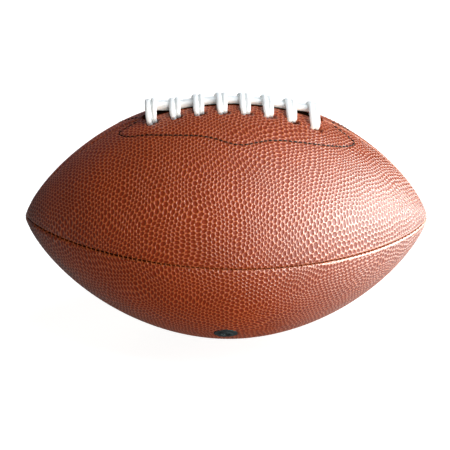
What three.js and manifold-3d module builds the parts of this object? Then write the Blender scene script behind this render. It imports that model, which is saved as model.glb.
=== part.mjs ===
// American football: four sewn cover panels over a lining and a rubber bladder,
// closed along the top by one long lace. X is the long axis, the lacing is on top.
import * as THREE from "three";
import { mergeVertices } from "three/addons/utils/BufferGeometryUtils.js";
import Module from "manifold-3d";

const wasm = await Module();
wasm.setup();

// Overall form
const BALL_LENGTH = 281;
const BALL_DIAMETER = 170;
const BELLY_FULLNESS = 1.94; // power that keeps the belly full
const TIP_SHARPNESS = 0.735; // power that draws the ends to a point
const TIP_DIMPLE_RADIUS = 1.2; // where the four panels meet at each tip
const REST_FLAT_DEPTH = 0.4; // how far the belly flattens where it lies

// Layers, from the outside in
const COVER_THICKNESS = 2;
const LINING_THICKNESS = 1;
const BLADDER_THICKNESS = 0.9;
const LAYER_GAP = 0.3;
const BLADDER_SLACK = 0.6; // between the lining and the bladder
const BLADDER_TIP_CLOSURE = 0.75; // share of its radius by which each end of the bladder closes
const BLADDER_TIP_RISE = 0.35; // and by which it bulges
const FLAT_SLACK = 0.9; // under a curved layer, for a piece whose flats lie across its facets

// Sewn seams
const SEAM_ROLL_WIDTH = 2.6; // each panel edge rolls over this width into the seam
const SEAM_ROLL_DEPTH = 1.6;
const ALLOWANCE_THICKNESS = 1.7; // the turned-in edge of a panel
const SEAM_THREAD_DIAMETER = 0.7;
const SEAM_THREAD_CLEARANCE = 0.25;
const SEAM_THREAD_END_RADIUS = 11; // sewing stops where the ball is this thin

// Lacing: one round cord, laid double
const LACE_DIAMETER = 3.3;
const LACE_GAP = 0.65; // between two strands of the lace
const LACE_HOLE_CLEARANCE = 0.4;
const LACE_CROSSES = 8;
const LACE_PITCH = 15.5;
const LACE_HOLE_DISTANCE = 14.5; // from the slit to a row of holes, along the leather
const LACE_CROWN = 0.2; // extra rise of a cross over the two long strands
const LACE_ARCH_SQUARENESS = 2.5;
const LACE_TAIL_LENGTH = 12;
const LACE_DRAW_IN = 2.2; // how far the lacing pulls the leather in
const LACE_DRAW_IN_LENGTH = 170;
const LACE_DRAW_IN_WIDTH = 170;

// Reinforcing patches beside the slit, each sewn on along a bracket-shaped line
const PATCH_THICKNESS = 0.8;
const PATCH_MARGIN = 3; // from the stitch line to the patch edge
const PATCH_EDGE_GAP = 0.5; // round a patch, to the lining it is let into
const STITCH_LINE_LENGTH = 162;
const STITCH_CORNER_REACH = 9; // from the slit to the corners of the stitch line
const STITCH_ARCH_RISE = 34;
const STITCH_ARCH_POWER = 0.6;
const STITCH_POINT_RISE = 5.5; // small point in the middle of the arch
const STITCH_POINT_WIDTH = 16;
const STITCH_START_REACH = 4; // from the slit to where the line begins, beside the lace
const STITCH_START_MARGIN = 5; // from the end cross to where the line begins
const STITCH_THREAD_DIAMETER = 0.8;
const TONGUE_THICKNESS = 1;
const TONGUE_MARGIN = 8; // how far the tongue reaches past the rows of holes

// Valve, in the middle of the lower front panel
const VALVE_PLACE = -5; // along the long axis
const VALVE_PAD_DIAMETER = 15;
const VALVE_PAD_RECESS = 0.8;
const VALVE_LIP_DIAMETER = 8;
const VALVE_LIP_HEIGHT = 0.6;
const VALVE_FLANGE_DIAMETER = 19;
const VALVE_FLANGE_THICKNESS = 0.6;
const VALVE_STEM_DIAMETER = 9;
const VALVE_STEM_LENGTH = 9; // below the flange
const VALVE_BORE_DIAMETER = 4.6;
const VALVE_DIMPLE_DIAMETER = 1.8;
const VALVE_DIMPLE_DEPTH = 3;
const VALVE_PLUG_HEAD_DIAMETER = 7;
const VALVE_PLUG_HEAD_THICKNESS = 1.5;
const VALVE_BOSS_DIAMETER = 18;
const VALVE_BOSS_THICKNESS = 1.2;

// Facets
const AXIAL_STEPS = 20;
const PANEL_FACETS = 8;
const LINING_STEPS_LEFT_OUT = 2; // at each tip
const BLADDER_STEPS_LEFT_OUT = 3;
const ROLL_ANGLES = [45, 90];
const ARCH_STEPS = 6;
const LACE_SIDES = 6;
const THREAD_SIDES = 5;
const STITCH_STEPS = 22;
const PATCH_FACETS = 4;
const HOLE_SEGMENTS = 2;
const ROUND_SIDES = 20;
const POINT_TOLERANCE = 1e-4; // points closer than this are one

// The body of revolution that the outer faces of the panels follow
const halfLength = BALL_LENGTH / 2;
const ballRadius = BALL_DIAMETER / 2;
const quarterTurn = Math.PI / 2;
const backSeam = 0;
const laceSeam = quarterTurn;
const frontSeam = 2 * quarterTurn;
const bellySeam = 3 * quarterTurn;

function profileRadius(x) {
  const share = Math.abs(x) / halfLength;
  return ballRadius * (1 - share ** BELLY_FULLNESS) ** TIP_SHARPNESS;
}

function profileSlope(x) {
  const share = Math.abs(x) / halfLength;
  const belly = BELLY_FULLNESS * share ** (BELLY_FULLNESS - 1);
  const tip = TIP_SHARPNESS * (1 - share ** BELLY_FULLNESS) ** (TIP_SHARPNESS - 1);
  return (-Math.sign(x) * ballRadius * belly * tip) / halfLength;
}

// Where along the axis the ball has a given radius
function placeOfRadius(radius) {
  return halfLength * (1 - (radius / ballRadius) ** (1 / TIP_SHARPNESS)) ** (1 / BELLY_FULLNESS);
}

const radiusAt = (x, depth) => profileRadius(x) - depth / Math.hypot(profileSlope(x), 1);

const fade = (share) => (Math.abs(share) < 1 ? (1 + Math.cos(Math.PI * share)) / 2 : 0);

// How far the lacing pulls the leather in, at one place of the surface
function drawnIn(x, angle) {
  const across = (angle - laceSeam) * profileRadius(x);
  return LACE_DRAW_IN * fade((2 * x) / LACE_DRAW_IN_LENGTH) * fade((2 * across) / LACE_DRAW_IN_WIDTH);
}

// A point under the outer face, by its place along the axis, its angle round it and its depth
function pointAt(x, angle, depth) {
  const slope = profileSlope(x);
  const sunk = (depth + drawnIn(x, angle)) / Math.hypot(slope, 1);
  const radius = profileRadius(x) - sunk;
  return new THREE.Vector3(x + sunk * slope, radius * Math.cos(angle), radius * Math.sin(angle));
}

// A point by its distance from the slit along the leather, towards the front, and its height
const topPoint = (x, across, height) => pointAt(x, laceSeam + across / profileRadius(x), -height);

// The turn about the axis that stands off a seam plane by a distance. It keeps room at the tips.
function seamTurn(x, offset, depth) {
  return Math.asin(offset / Math.max(radiusAt(x, depth), 2 * SEAM_ROLL_WIDTH));
}

function seamPoint(x, seam, side, offset, depth) {
  return pointAt(x, seam + side * seamTurn(x, offset, depth), depth);
}

const coverEnd = placeOfRadius(TIP_DIMPLE_RADIUS);
const axialPlaces = Array.from(
  { length: AXIAL_STEPS + 1 },
  (_, i) => coverEnd * Math.sin((i / AXIAL_STEPS - 0.5) * Math.PI),
);

// The places between two ends, with the ends themselves
function placesBetween(start, end) {
  const inside = axialPlaces.filter((x) => x > start + LAYER_GAP && x < end - LAYER_GAP);
  return [start, ...inside, end];
}

// Solids from rings of points

function ringNormal(ring) {
  const normal = new THREE.Vector3();
  ring.forEach((point, i) => normal.add(point.clone().cross(ring[(i + 1) % ring.length])));
  return normal.normalize();
}

function ringCentre(ring) {
  const sum = ring.reduce((total, point) => total.add(point), new THREE.Vector3());
  return sum.divideScalar(ring.length);
}

function capFaces(ring) {
  const normal = ringNormal(ring);
  const right = ring[1].clone().sub(ring[0]).projectOnPlane(normal).normalize();
  const up = normal.clone().cross(right);
  const outline = ring.map((point) => new THREE.Vector2(point.dot(right), point.dot(up)));
  return THREE.ShapeUtils.triangulateShape(outline, []);
}

// A closed solid through rings of equally many points
function loft(rings) {
  const ahead = ringCentre(rings[1]).sub(ringCentre(rings[0]));
  const turned = ringNormal(rings[0]).dot(ahead) < 0;
  const wound = turned ? rings.map((ring) => ring.toReversed()) : rings;
  const count = wound[0].length;
  const last = (wound.length - 1) * count;
  const index = [];
  for (let start = 0; start < last; start += count) {
    for (let j = 0; j < count; j++) {
      const a = start + j;
      const b = start + ((j + 1) % count);
      index.push(a, b, a + count, b, b + count, a + count);
    }
  }
  capFaces(wound[0]).forEach(([a, b, c]) => index.push(a, c, b));
  capFaces(wound.at(-1)).forEach(([a, b, c]) => index.push(last + a, last + b, last + c));
  const positions = wound.flat().flatMap((point) => point.toArray());
  const geometry = new THREE.BufferGeometry();
  geometry.setAttribute("position", new THREE.Float32BufferAttribute(positions, 3));
  return geometry.setIndex(index);
}

// A round cord through a list of points
function cord(points, diameter, sides) {
  let across = new THREE.Vector3(0, 0, 1);
  const rings = points.map((point, i) => {
    const before = points[Math.max(i - 1, 0)];
    const after = points[Math.min(i + 1, points.length - 1)];
    const along = after.clone().sub(before).normalize();
    across = across.clone().projectOnPlane(along).normalize();
    const up = along.clone().cross(across);
    return Array.from({ length: sides }, (_, j) => {
      const angle = (2 * Math.PI * j) / sides;
      const spoke = across.clone().multiplyScalar(Math.cos(angle)).addScaledVector(up, Math.sin(angle));
      return point.clone().addScaledVector(spoke, diameter / 2);
    });
  });
  return loft(rings);
}

// Cutting

function solidOf(geometry) {
  const bare = new THREE.BufferGeometry();
  bare.setAttribute("position", geometry.getAttribute("position"));
  bare.setIndex(geometry.index);
  const merged = mergeVertices(bare, POINT_TOLERANCE);
  return new wasm.Manifold(
    new wasm.Mesh({
      numProp: 3,
      vertProperties: merged.getAttribute("position").array,
      triVerts: new Uint32Array(merged.index.array),
    }),
  );
}

function geometryOf(solid) {
  const { vertProperties, triVerts } = solid.getMesh();
  const geometry = new THREE.BufferGeometry();
  geometry.setAttribute("position", new THREE.BufferAttribute(vertProperties, 3));
  return geometry.setIndex(new THREE.BufferAttribute(triVerts, 1));
}

function cut(geometry, cutters) {
  const solid = cutters.reduce((rest, cutter) => rest.subtract(solidOf(cutter)), solidOf(geometry));
  return geometryOf(solid);
}

// Places and directions that several pieces share

const faceOffset = LAYER_GAP / 2;
const channelOffset = SEAM_THREAD_DIAMETER / 2 + SEAM_THREAD_CLEARANCE;
const allowanceOffset = faceOffset + ALLOWANCE_THICKNESS;
const liningOffset = allowanceOffset + LAYER_GAP;
const liningDepth = COVER_THICKNESS + LAYER_GAP;
const allowanceDepth = liningDepth + LINING_THICKNESS;
const bladderDepth = allowanceDepth + BLADDER_SLACK;
const channelDepth = SEAM_ROLL_DEPTH + channelOffset - faceOffset;
const threadDepth = (channelDepth + allowanceDepth) / 2;
const patchDepth = COVER_THICKNESS + FLAT_SLACK;
const patchInnerDepth = patchDepth + PATCH_THICKNESS;
const cutterReach = 4 * bladderDepth; // through all the layers, and clear on both sides

const laceRadius = LACE_DIAMETER / 2;
const holeHalfWidth = laceRadius + LACE_HOLE_CLEARANCE;
const laceBend = holeHalfWidth; // the lace wraps the edge of its hole
const layHeight = LAYER_GAP + laceRadius;
const crossHeight = layHeight + LACE_DIAMETER + LACE_GAP + LACE_CROWN;
const bendDepth = patchInnerDepth + LAYER_GAP; // where the lace starts to bend, inside
const underHeight = -(bendDepth + laceBend);
const strandReach = (LACE_DIAMETER + LACE_GAP) / 2; // half the spacing of two strands
// Inside, the strands slant from hole to hole, so each pair of holes is spread to keep them clear
const underRun = 2 * (LACE_HOLE_DISTANCE - laceBend) * (1 + underHeight / ballRadius);
const holeReach = (strandReach * Math.hypot(LACE_PITCH, underRun)) / underRun;
const crossPlaces = Array.from(
  { length: LACE_CROSSES },
  (_, i) => (i - (LACE_CROSSES - 1) / 2) * LACE_PITCH,
);
const firstCross = crossPlaces[0];
const lastCross = crossPlaces.at(-1);
const lacingEnd = lastCross + holeReach + holeHalfWidth;
const tongueDepth = -underHeight + laceRadius + LAYER_GAP;
const tongueReach = LACE_HOLE_DISTANCE + TONGUE_MARGIN;
const tongueEnd = lacingEnd + LACE_TAIL_LENGTH;

// Cover panels: a quarter of the ball each, with edges rolled into the seams and turned in

const coverEdge = [
  [allowanceOffset, COVER_THICKNESS],
  [allowanceOffset, allowanceDepth],
  [channelOffset, allowanceDepth],
  [channelOffset, channelDepth],
  [faceOffset, SEAM_ROLL_DEPTH],
  ...ROLL_ANGLES.map((degrees) => {
    const angle = THREE.MathUtils.degToRad(degrees);
    return [faceOffset + SEAM_ROLL_WIDTH * (1 - Math.cos(angle)), SEAM_ROLL_DEPTH * (1 - Math.sin(angle))];
  }),
];

// Points across a panel at one depth, from one offset line to the other
function panelArc(x, seam, offset, depth) {
  const turn = seamTurn(x, offset, depth);
  const step = (quarterTurn - 2 * turn) / PANEL_FACETS;
  return Array.from({ length: PANEL_FACETS + 1 }, (_, i) => pointAt(x, seam + turn + i * step, depth));
}

function coverRing(x, seam) {
  const edge = (atSeam, side) => coverEdge.map(([offset, depth]) => seamPoint(x, atSeam, side, offset, depth));
  const outer = panelArc(x, seam, faceOffset + SEAM_ROLL_WIDTH, 0).slice(1, -1);
  const inner = panelArc(x, seam, allowanceOffset, COVER_THICKNESS).slice(1, -1);
  return [...edge(seam, 1), ...outer, ...edge(seam + quarterTurn, -1).toReversed(), ...inner.toReversed()];
}

const coverPanel = (seam) => loft(axialPlaces.map((x) => coverRing(x, seam)));

// The ground under the ball, which flattens the belly
function restingGround() {
  const ground = new THREE.BoxGeometry(BALL_LENGTH, BALL_DIAMETER, ballRadius);
  return ground.translate(0, 0, REST_FLAT_DEPTH - 1.5 * ballRadius);
}

// Linings: one under each panel, between its turned-in edges

const liningPlaces = axialPlaces.slice(LINING_STEPS_LEFT_OUT, -LINING_STEPS_LEFT_OUT);

function lining(seam) {
  const rings = liningPlaces.map((x) => [
    ...panelArc(x, seam, liningOffset, liningDepth),
    ...panelArc(x, seam, liningOffset, allowanceDepth).toReversed(),
  ]);
  return loft(rings);
}

// Bladder: one closed bag, pressed in under the lacing

const panelStep = quarterTurn / PANEL_FACETS;
const bladderPlaces = axialPlaces.slice(BLADDER_STEPS_LEFT_OUT, -BLADDER_STEPS_LEFT_OUT);

// One over the tongue, falling to nothing beyond it
function underTongue(x, angle) {
  const across = Math.abs(angle - laceSeam) * profileRadius(x);
  const facetWidth = panelStep * ballRadius;
  const sideways = fade(Math.max(0, across - tongueReach - facetWidth) / (2 * facetWidth));
  const lengthways = fade(Math.max(0, Math.abs(x) - tongueEnd - facetWidth) / (2 * facetWidth));
  return sideways * lengthways;
}

function bladderBag(depth) {
  const pressed = tongueDepth + TONGUE_THICKNESS + LAYER_GAP - bladderDepth;
  const angles = Array.from({ length: 4 * PANEL_FACETS }, (_, i) => i * panelStep);
  const rings = bladderPlaces.map((x) =>
    angles.map((angle) => pointAt(x, angle, depth + pressed * underTongue(x, angle))),
  );
  const tip = (ring) => {
    const centre = ringCentre(ring);
    const bulge = Math.sign(centre.x) * BLADDER_TIP_RISE * ring[0].distanceTo(centre);
    return ring.map((point) => point.clone().lerp(centre, BLADDER_TIP_CLOSURE).setX(centre.x + bulge));
  };
  return loft([tip(rings[0]), ...rings, tip(rings.at(-1))]);
}

// Seam threads: each lies between the turned-in edges of two panels

function seamThread(seam, start, end) {
  const points = placesBetween(start, end).map((x) => pointAt(x, seam, threadDepth));
  return cord(points, SEAM_THREAD_DIAMETER, THREAD_SIDES);
}

// Lace, by its route: each leg is a list of points given by place, distance from the slit and height

function quarterBend(from, corner, to) {
  const middle = corner.map((value, i) => value + (from[i] + to[i] - 2 * value) * (1 - Math.SQRT1_2));
  return [from, middle, to];
}

// A cross, from the front hole over the two long strands to the back hole
function crossLeg(x, reach) {
  return Array.from({ length: ARCH_STEPS + 1 }, (_, i) => {
    const angle = (Math.PI * i) / ARCH_STEPS;
    const power = 2 / LACE_ARCH_SQUARENESS;
    const across = Math.sign(Math.cos(angle)) * Math.abs(Math.cos(angle)) ** power;
    const height = Math.max(0, Math.sin(angle)) ** power;
    const spread = holeReach + (strandReach - holeReach) * height;
    return [x + reach * spread, LACE_HOLE_DISTANCE * across, crossHeight * height];
  });
}

// Down through the leather at one place, then level inside, in a direction across the ball
function downLeg(x, across, direction) {
  const top = [x, across, -bendDepth];
  return quarterBend(top, [x, across, underHeight], [x, across + direction * laceBend, underHeight]);
}

const upLeg = (x, across, direction) => downLeg(x, across, direction).toReversed();

// A long strand, from its rise out of the slit at the left to its dive into it at the right
function longLeg(start, end, across) {
  const level = layHeight;
  const low = layHeight - laceBend;
  const rise = quarterBend([start, across, low], [start, across, level], [start + laceBend, across, level]);
  const dive = quarterBend([end - laceBend, across, level], [end, across, level], [end, across, low]);
  const between = crossPlaces
    .slice(0, -1)
    .map((x) => [x + LACE_PITCH / 2, across, level]);
  return [...rise, ...between, ...dive];
}

// Eight crosses on one side of each pair of holes, worked from right to left
function winding(reach) {
  return crossPlaces.toReversed().flatMap((x, i) => {
    const place = x + reach * holeReach;
    const legs = [...upLeg(place, LACE_HOLE_DISTANCE, -1), ...crossLeg(x, reach)];
    if (i === LACE_CROSSES - 1) return legs;
    const halfway = [place - LACE_PITCH / 2, 0, underHeight];
    return [...legs, ...downLeg(place, -LACE_HOLE_DISTANCE, 1), halfway];
  });
}

function laceRoute() {
  const left = firstCross - holeReach;
  const right = lastCross - holeReach;
  const farRight = lastCross + holeReach;
  const tail = [
    [left - laceBend - LACE_TAIL_LENGTH, strandReach, underHeight],
    ...quarterBend(
      [left - laceBend, strandReach, underHeight],
      [left, strandReach, underHeight],
      [left, strandReach, -bendDepth],
    ),
  ];
  const endPlace = firstCross + holeReach;
  const end = [
    ...downLeg(endPlace, -LACE_HOLE_DISTANCE, -1),
    [endPlace, -LACE_HOLE_DISTANCE - laceBend - LACE_TAIL_LENGTH, underHeight],
  ];
  const route = [
    ...tail,
    ...longLeg(left, right, strandReach),
    ...downLeg(right, strandReach, 1),
    ...winding(-1),
    ...downLeg(left, -LACE_HOLE_DISTANCE, 1),
    ...upLeg(left, -strandReach, -1),
    ...longLeg(left, farRight, -strandReach),
    ...downLeg(farRight, -strandReach, 1),
    ...winding(1),
    ...end,
  ];
  return route.map(([x, across, height]) => topPoint(x, across, height));
}

// The least gap of a cord to itself, measured on points a millimetre apart
function leastGap(points, diameter) {
  const samples = [];
  let run = 0;
  points.slice(1).forEach((point, i) => {
    const length = point.distanceTo(points[i]);
    const count = Math.ceil(length);
    for (let k = 0; k < count; k++) {
      samples.push({ at: points[i].clone().lerp(point, k / count), run: run + (length * k) / count });
    }
    run += length;
  });
  const sameBend = 4 * diameter; // points nearer than this along the cord are in one bend
  let least = Infinity;
  samples.forEach((a, i) =>
    samples.slice(i + 1).forEach((b) => {
      if (b.run - a.run > sameBend) least = Math.min(least, a.at.distanceTo(b.at));
    }),
  );
  return { gap: least - diameter, length: run };
}

// Holes for the lace

// A cutter through all layers, square to the leather
function throughHole(shape, x, across) {
  const form = { depth: cutterReach, bevelEnabled: false, curveSegments: HOLE_SEGMENTS };
  const cutter = new THREE.ExtrudeGeometry(shape, form);
  const along = topPoint(x + 1, across, 0).sub(topPoint(x - 1, across, 0)).normalize();
  const out = topPoint(x, across, 1).sub(topPoint(x, across, 0)).projectOnPlane(along).normalize();
  const basis = new THREE.Matrix4().makeBasis(along, out.clone().cross(along), out);
  const start = topPoint(x, across, 0).addScaledVector(out, -cutterReach / 2);
  return cutter.applyMatrix4(basis).translate(start.x, start.y, start.z);
}

function slotShape() {
  const slot = new THREE.Shape();
  slot.absarc(holeReach, 0, holeHalfWidth, -quarterTurn, quarterTurn);
  slot.absarc(-holeReach, 0, holeHalfWidth, quarterTurn, 3 * quarterTurn);
  return slot;
}

function roundShape() {
  const round = new THREE.Shape();
  round.absarc(0, 0, holeHalfWidth, 0, Math.PI);
  round.absarc(0, 0, holeHalfWidth, Math.PI, 2 * Math.PI);
  return round;
}

// The holes of one panel: a row of slots, and the openings where the long strands pass the slit
function laceHoles(side) {
  const slots = crossPlaces.map((x) => throughHole(slotShape(), x, side * LACE_HOLE_DISTANCE));
  const passes = [firstCross - holeReach, lastCross - side * holeReach];
  return [...slots, ...passes.map((x) => throughHole(roundShape(), x, side * strandReach))];
}

// Patches and their stitching

function stitchReach(x) {
  const share = Math.min(1, Math.abs((2 * x) / STITCH_LINE_LENGTH));
  const arch = STITCH_ARCH_RISE * (1 - share ** 2) ** STITCH_ARCH_POWER;
  return STITCH_CORNER_REACH + arch + STITCH_POINT_RISE * Math.exp(-((x / STITCH_POINT_WIDTH) ** 2));
}

// A piece of sheet that follows the ball, between two distances from the slit
function sheet(places, from, to, depth, thickness, facets) {
  const row = (x, atDepth) =>
    Array.from({ length: facets + 1 }, (_, i) =>
      topPoint(x, from(x) + ((to(x) - from(x)) * i) / facets, -atDepth),
    );
  return loft(places.map((x) => [...row(x, depth), ...row(x, depth + thickness).toReversed()]));
}

const patchEnd = STITCH_LINE_LENGTH / 2 + PATCH_MARGIN;
const patchPlaces = placesBetween(-patchEnd, patchEnd);
const patchReach = (x) => stitchReach(x) + PATCH_MARGIN;

function patch(side) {
  return sheet(
    patchPlaces,
    () => side * liningOffset,
    (x) => side * patchReach(x),
    patchDepth,
    PATCH_THICKNESS,
    PATCH_FACETS,
  );
}

// The window in a lining that a patch lies in: the patch's own outline, a little larger
function patchWindow(side) {
  const growth = 1 + PATCH_EDGE_GAP / patchEnd;
  return sheet(
    patchPlaces.map((x) => growth * x),
    () => -side * liningOffset,
    (x) => side * (patchReach(x / growth) + PATCH_EDGE_GAP),
    -COVER_THICKNESS,
    cutterReach,
    PATCH_FACETS,
  );
}

function patchStitching(side) {
  const end = STITCH_LINE_LENGTH / 2;
  const start = lacingEnd + STITCH_START_MARGIN;
  const arch = Array.from({ length: STITCH_STEPS + 1 }, (_, i) => {
    const x = end * Math.sin((i / STITCH_STEPS - 0.5) * Math.PI);
    return [x, stitchReach(x)];
  });
  const line = [[-start, STITCH_START_REACH], ...arch, [start, STITCH_START_REACH]];
  const height = LAYER_GAP + STITCH_THREAD_DIAMETER / 2;
  const points = line.map(([x, across]) => topPoint(x, side * across, height));
  return cord(points, STITCH_THREAD_DIAMETER, THREAD_SIDES);
}

function lacingTongue() {
  return sheet(
    placesBetween(-tongueEnd, tongueEnd),
    () => -tongueReach,
    () => tongueReach,
    tongueDepth,
    TONGUE_THICKNESS,
    PATCH_FACETS,
  );
}

// Valve, turned about its own axis from the outer face inwards

const valveAngle = frontSeam + quarterTurn / 2;
const valvePoint = pointAt(VALVE_PLACE, valveAngle, 0);
const valveAxis = valvePoint.clone().sub(pointAt(VALVE_PLACE, valveAngle, 1));
const valveTurn = new THREE.Quaternion().setFromUnitVectors(new THREE.Vector3(0, 1, 0), valveAxis);
// How far the ball curves away at a distance from the valve's axis
const curvedAway = (radius) => ballRadius - Math.sqrt(ballRadius ** 2 - radius ** 2);

function turnedPiece(profile) {
  const points = profile.map(([radius, height]) => new THREE.Vector2(radius, height));
  return new THREE.LatheGeometry(points, ROUND_SIDES);
}

function valveHole(diameter) {
  const hole = new THREE.CylinderGeometry(diameter / 2, diameter / 2, cutterReach, ROUND_SIDES);
  return hole.applyQuaternion(valveTurn).translate(valvePoint.x, valvePoint.y, valvePoint.z);
}

const flangeRadius = VALVE_FLANGE_DIAMETER / 2;
const padRadius = VALVE_PAD_DIAMETER / 2;
const stemRadius = VALVE_STEM_DIAMETER / 2;
const flangeDepth = COVER_THICKNESS + FLAT_SLACK;
const stemEnd = -(flangeDepth + VALVE_FLANGE_THICKNESS + VALVE_STEM_LENGTH);

function valveBody() {
  const bore = VALVE_BORE_DIAMETER / 2;
  const flangeTop = (radius) => -(flangeDepth + curvedAway(radius));
  const flangeFoot = (radius) => flangeTop(radius) - VALVE_FLANGE_THICKNESS;
  return turnedPiece([
    [bore, stemEnd],
    [stemRadius, stemEnd],
    [stemRadius, flangeFoot(stemRadius)],
    [flangeRadius, flangeFoot(flangeRadius)],
    [flangeRadius, flangeTop(flangeRadius)],
    [padRadius, flangeTop(padRadius)],
    [padRadius, -VALVE_PAD_RECESS],
    [VALVE_LIP_DIAMETER / 2, -VALVE_PAD_RECESS],
    [VALVE_LIP_DIAMETER / 2 - VALVE_LIP_HEIGHT, VALVE_LIP_HEIGHT - VALVE_PAD_RECESS],
    [bore, VALVE_LIP_HEIGHT - VALVE_PAD_RECESS],
    [bore, stemEnd],
  ]);
}

function valvePlug() {
  const radius = VALVE_BORE_DIAMETER / 2 - LAYER_GAP;
  const top = VALVE_LIP_HEIGHT - VALVE_PAD_RECESS - LAYER_GAP;
  const headTop = stemEnd - LAYER_GAP;
  return turnedPiece([
    [0, headTop - VALVE_PLUG_HEAD_THICKNESS],
    [VALVE_PLUG_HEAD_DIAMETER / 2, headTop - VALVE_PLUG_HEAD_THICKNESS],
    [VALVE_PLUG_HEAD_DIAMETER / 2, headTop],
    [radius, headTop],
    [radius, top],
    [VALVE_DIMPLE_DIAMETER / 2, top],
    [0, top - VALVE_DIMPLE_DEPTH],
  ]);
}

// A ring inside the bladder that stiffens it round the stem
function valveBoss() {
  const inner = stemRadius + LAYER_GAP;
  const outer = VALVE_BOSS_DIAMETER / 2;
  const top = (radius) => -(bladderDepth + BLADDER_THICKNESS + FLAT_SLACK + curvedAway(radius));
  return turnedPiece([
    [inner, top(inner) - VALVE_BOSS_THICKNESS],
    [outer, top(outer) - VALVE_BOSS_THICKNESS],
    [outer, top(outer)],
    [inner, top(inner)],
    [inner, top(inner) - VALVE_BOSS_THICKNESS],
  ]);
}

// Finishes

const finish = (color, roughness) => () => new THREE.MeshStandardMaterial({ color, roughness, metalness: 0 });
const coverLeather = finish(0x9a4630, 0.5);
const liningCloth = finish(0xcfc3a6, 0.9);
const bladderRubber = finish(0x24211f, 0.7);
const valveRubber = finish(0x171719, 0.55);
const laceVinyl = finish(0xf1efe9, 0.45);
const patchCloth = finish(0x7a5138, 0.85);
const blackThread = finish(0x1b1716, 0.7);
const brownThread = finish(0x5a3322, 0.8);

// Assembly

const football = new THREE.Group();
const ball = new THREE.Group();
ball.position.z = ballRadius - REST_FLAT_DEPTH;
football.add(ball);
const valve = new THREE.Group();
valve.position.copy(valvePoint);
valve.quaternion.copy(valveTurn);
ball.add(valve);

function addPiece(parent, name, geometry, material) {
  const mesh = new THREE.Mesh(geometry, material());
  mesh.name = name;
  parent.add(mesh);
}

const padHole = valveHole(VALVE_PAD_DIAMETER + 2 * LAYER_GAP);
const flangeHole = valveHole(VALVE_FLANGE_DIAMETER + 2 * LAYER_GAP);
const stemHole = valveHole(VALVE_STEM_DIAMETER + 2 * LAYER_GAP);

addPiece(ball, "cover_lace_front", cut(coverPanel(laceSeam), laceHoles(1)), coverLeather);
addPiece(ball, "cover_lace_back", cut(coverPanel(backSeam), laceHoles(-1)), coverLeather);
addPiece(ball, "cover_valve", cut(coverPanel(frontSeam), [padHole, restingGround()]), coverLeather);
addPiece(ball, "cover_plain", cut(coverPanel(bellySeam), [restingGround()]), coverLeather);

addPiece(ball, "lining_lace_front", cut(lining(laceSeam), [patchWindow(1)]), liningCloth);
addPiece(ball, "lining_lace_back", cut(lining(backSeam), [patchWindow(-1)]), liningCloth);
addPiece(ball, "lining_valve", cut(lining(frontSeam), [flangeHole]), liningCloth);
addPiece(ball, "lining_plain", lining(bellySeam), liningCloth);

const bladder = cut(bladderBag(bladderDepth), [bladderBag(bladderDepth + BLADDER_THICKNESS), stemHole]);
addPiece(ball, "bladder", bladder, bladderRubber);
addPiece(valve, "valve_body", valveBody(), valveRubber);
addPiece(valve, "valve_plug", valvePlug(), valveRubber);
addPiece(valve, "valve_boss", valveBoss(), bladderRubber);

const sewnEnd = placeOfRadius(SEAM_THREAD_END_RADIUS);
const slitEnd = lacingEnd + STITCH_START_MARGIN;
addPiece(ball, "seam_thread_front", seamThread(frontSeam, -sewnEnd, sewnEnd), brownThread);
addPiece(ball, "seam_thread_back", seamThread(backSeam, -sewnEnd, sewnEnd), brownThread);
addPiece(ball, "seam_thread_belly", seamThread(bellySeam, -sewnEnd, sewnEnd), brownThread);
addPiece(ball, "seam_thread_top_left", seamThread(laceSeam, -sewnEnd, -slitEnd), brownThread);
addPiece(ball, "seam_thread_top_right", seamThread(laceSeam, slitEnd, sewnEnd), brownThread);

addPiece(ball, "lace_patch_front", cut(patch(1), laceHoles(1)), patchCloth);
addPiece(ball, "lace_patch_back", cut(patch(-1), laceHoles(-1)), patchCloth);
addPiece(ball, "patch_stitch_front", patchStitching(1), blackThread);
addPiece(ball, "patch_stitch_back", patchStitching(-1), blackThread);
addPiece(ball, "lacing_tongue", lacingTongue(), patchCloth);

const route = laceRoute();
addPiece(ball, "lace", cord(route, LACE_DIAMETER, LACE_SIDES), laceVinyl);
const { gap, length } = leastGap(route, LACE_DIAMETER);
console.log(`lace: ${length.toFixed(0)} mm long, least gap to itself ${gap.toFixed(2)} mm`);

export default football;
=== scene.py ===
# %% [markdown]
# # An american football
#
# A full-size ball: four pebbled panels sewn edge to edge, laced shut along the top with a white
# vinyl cord, and a black needle valve low on the front. The solids of the ball are loaded first.
# They give the frame that everything below is fitted to, and the box that it has to stay in.

import math

import bpy
import numpy as np
from mathutils import Matrix, Vector


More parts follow.
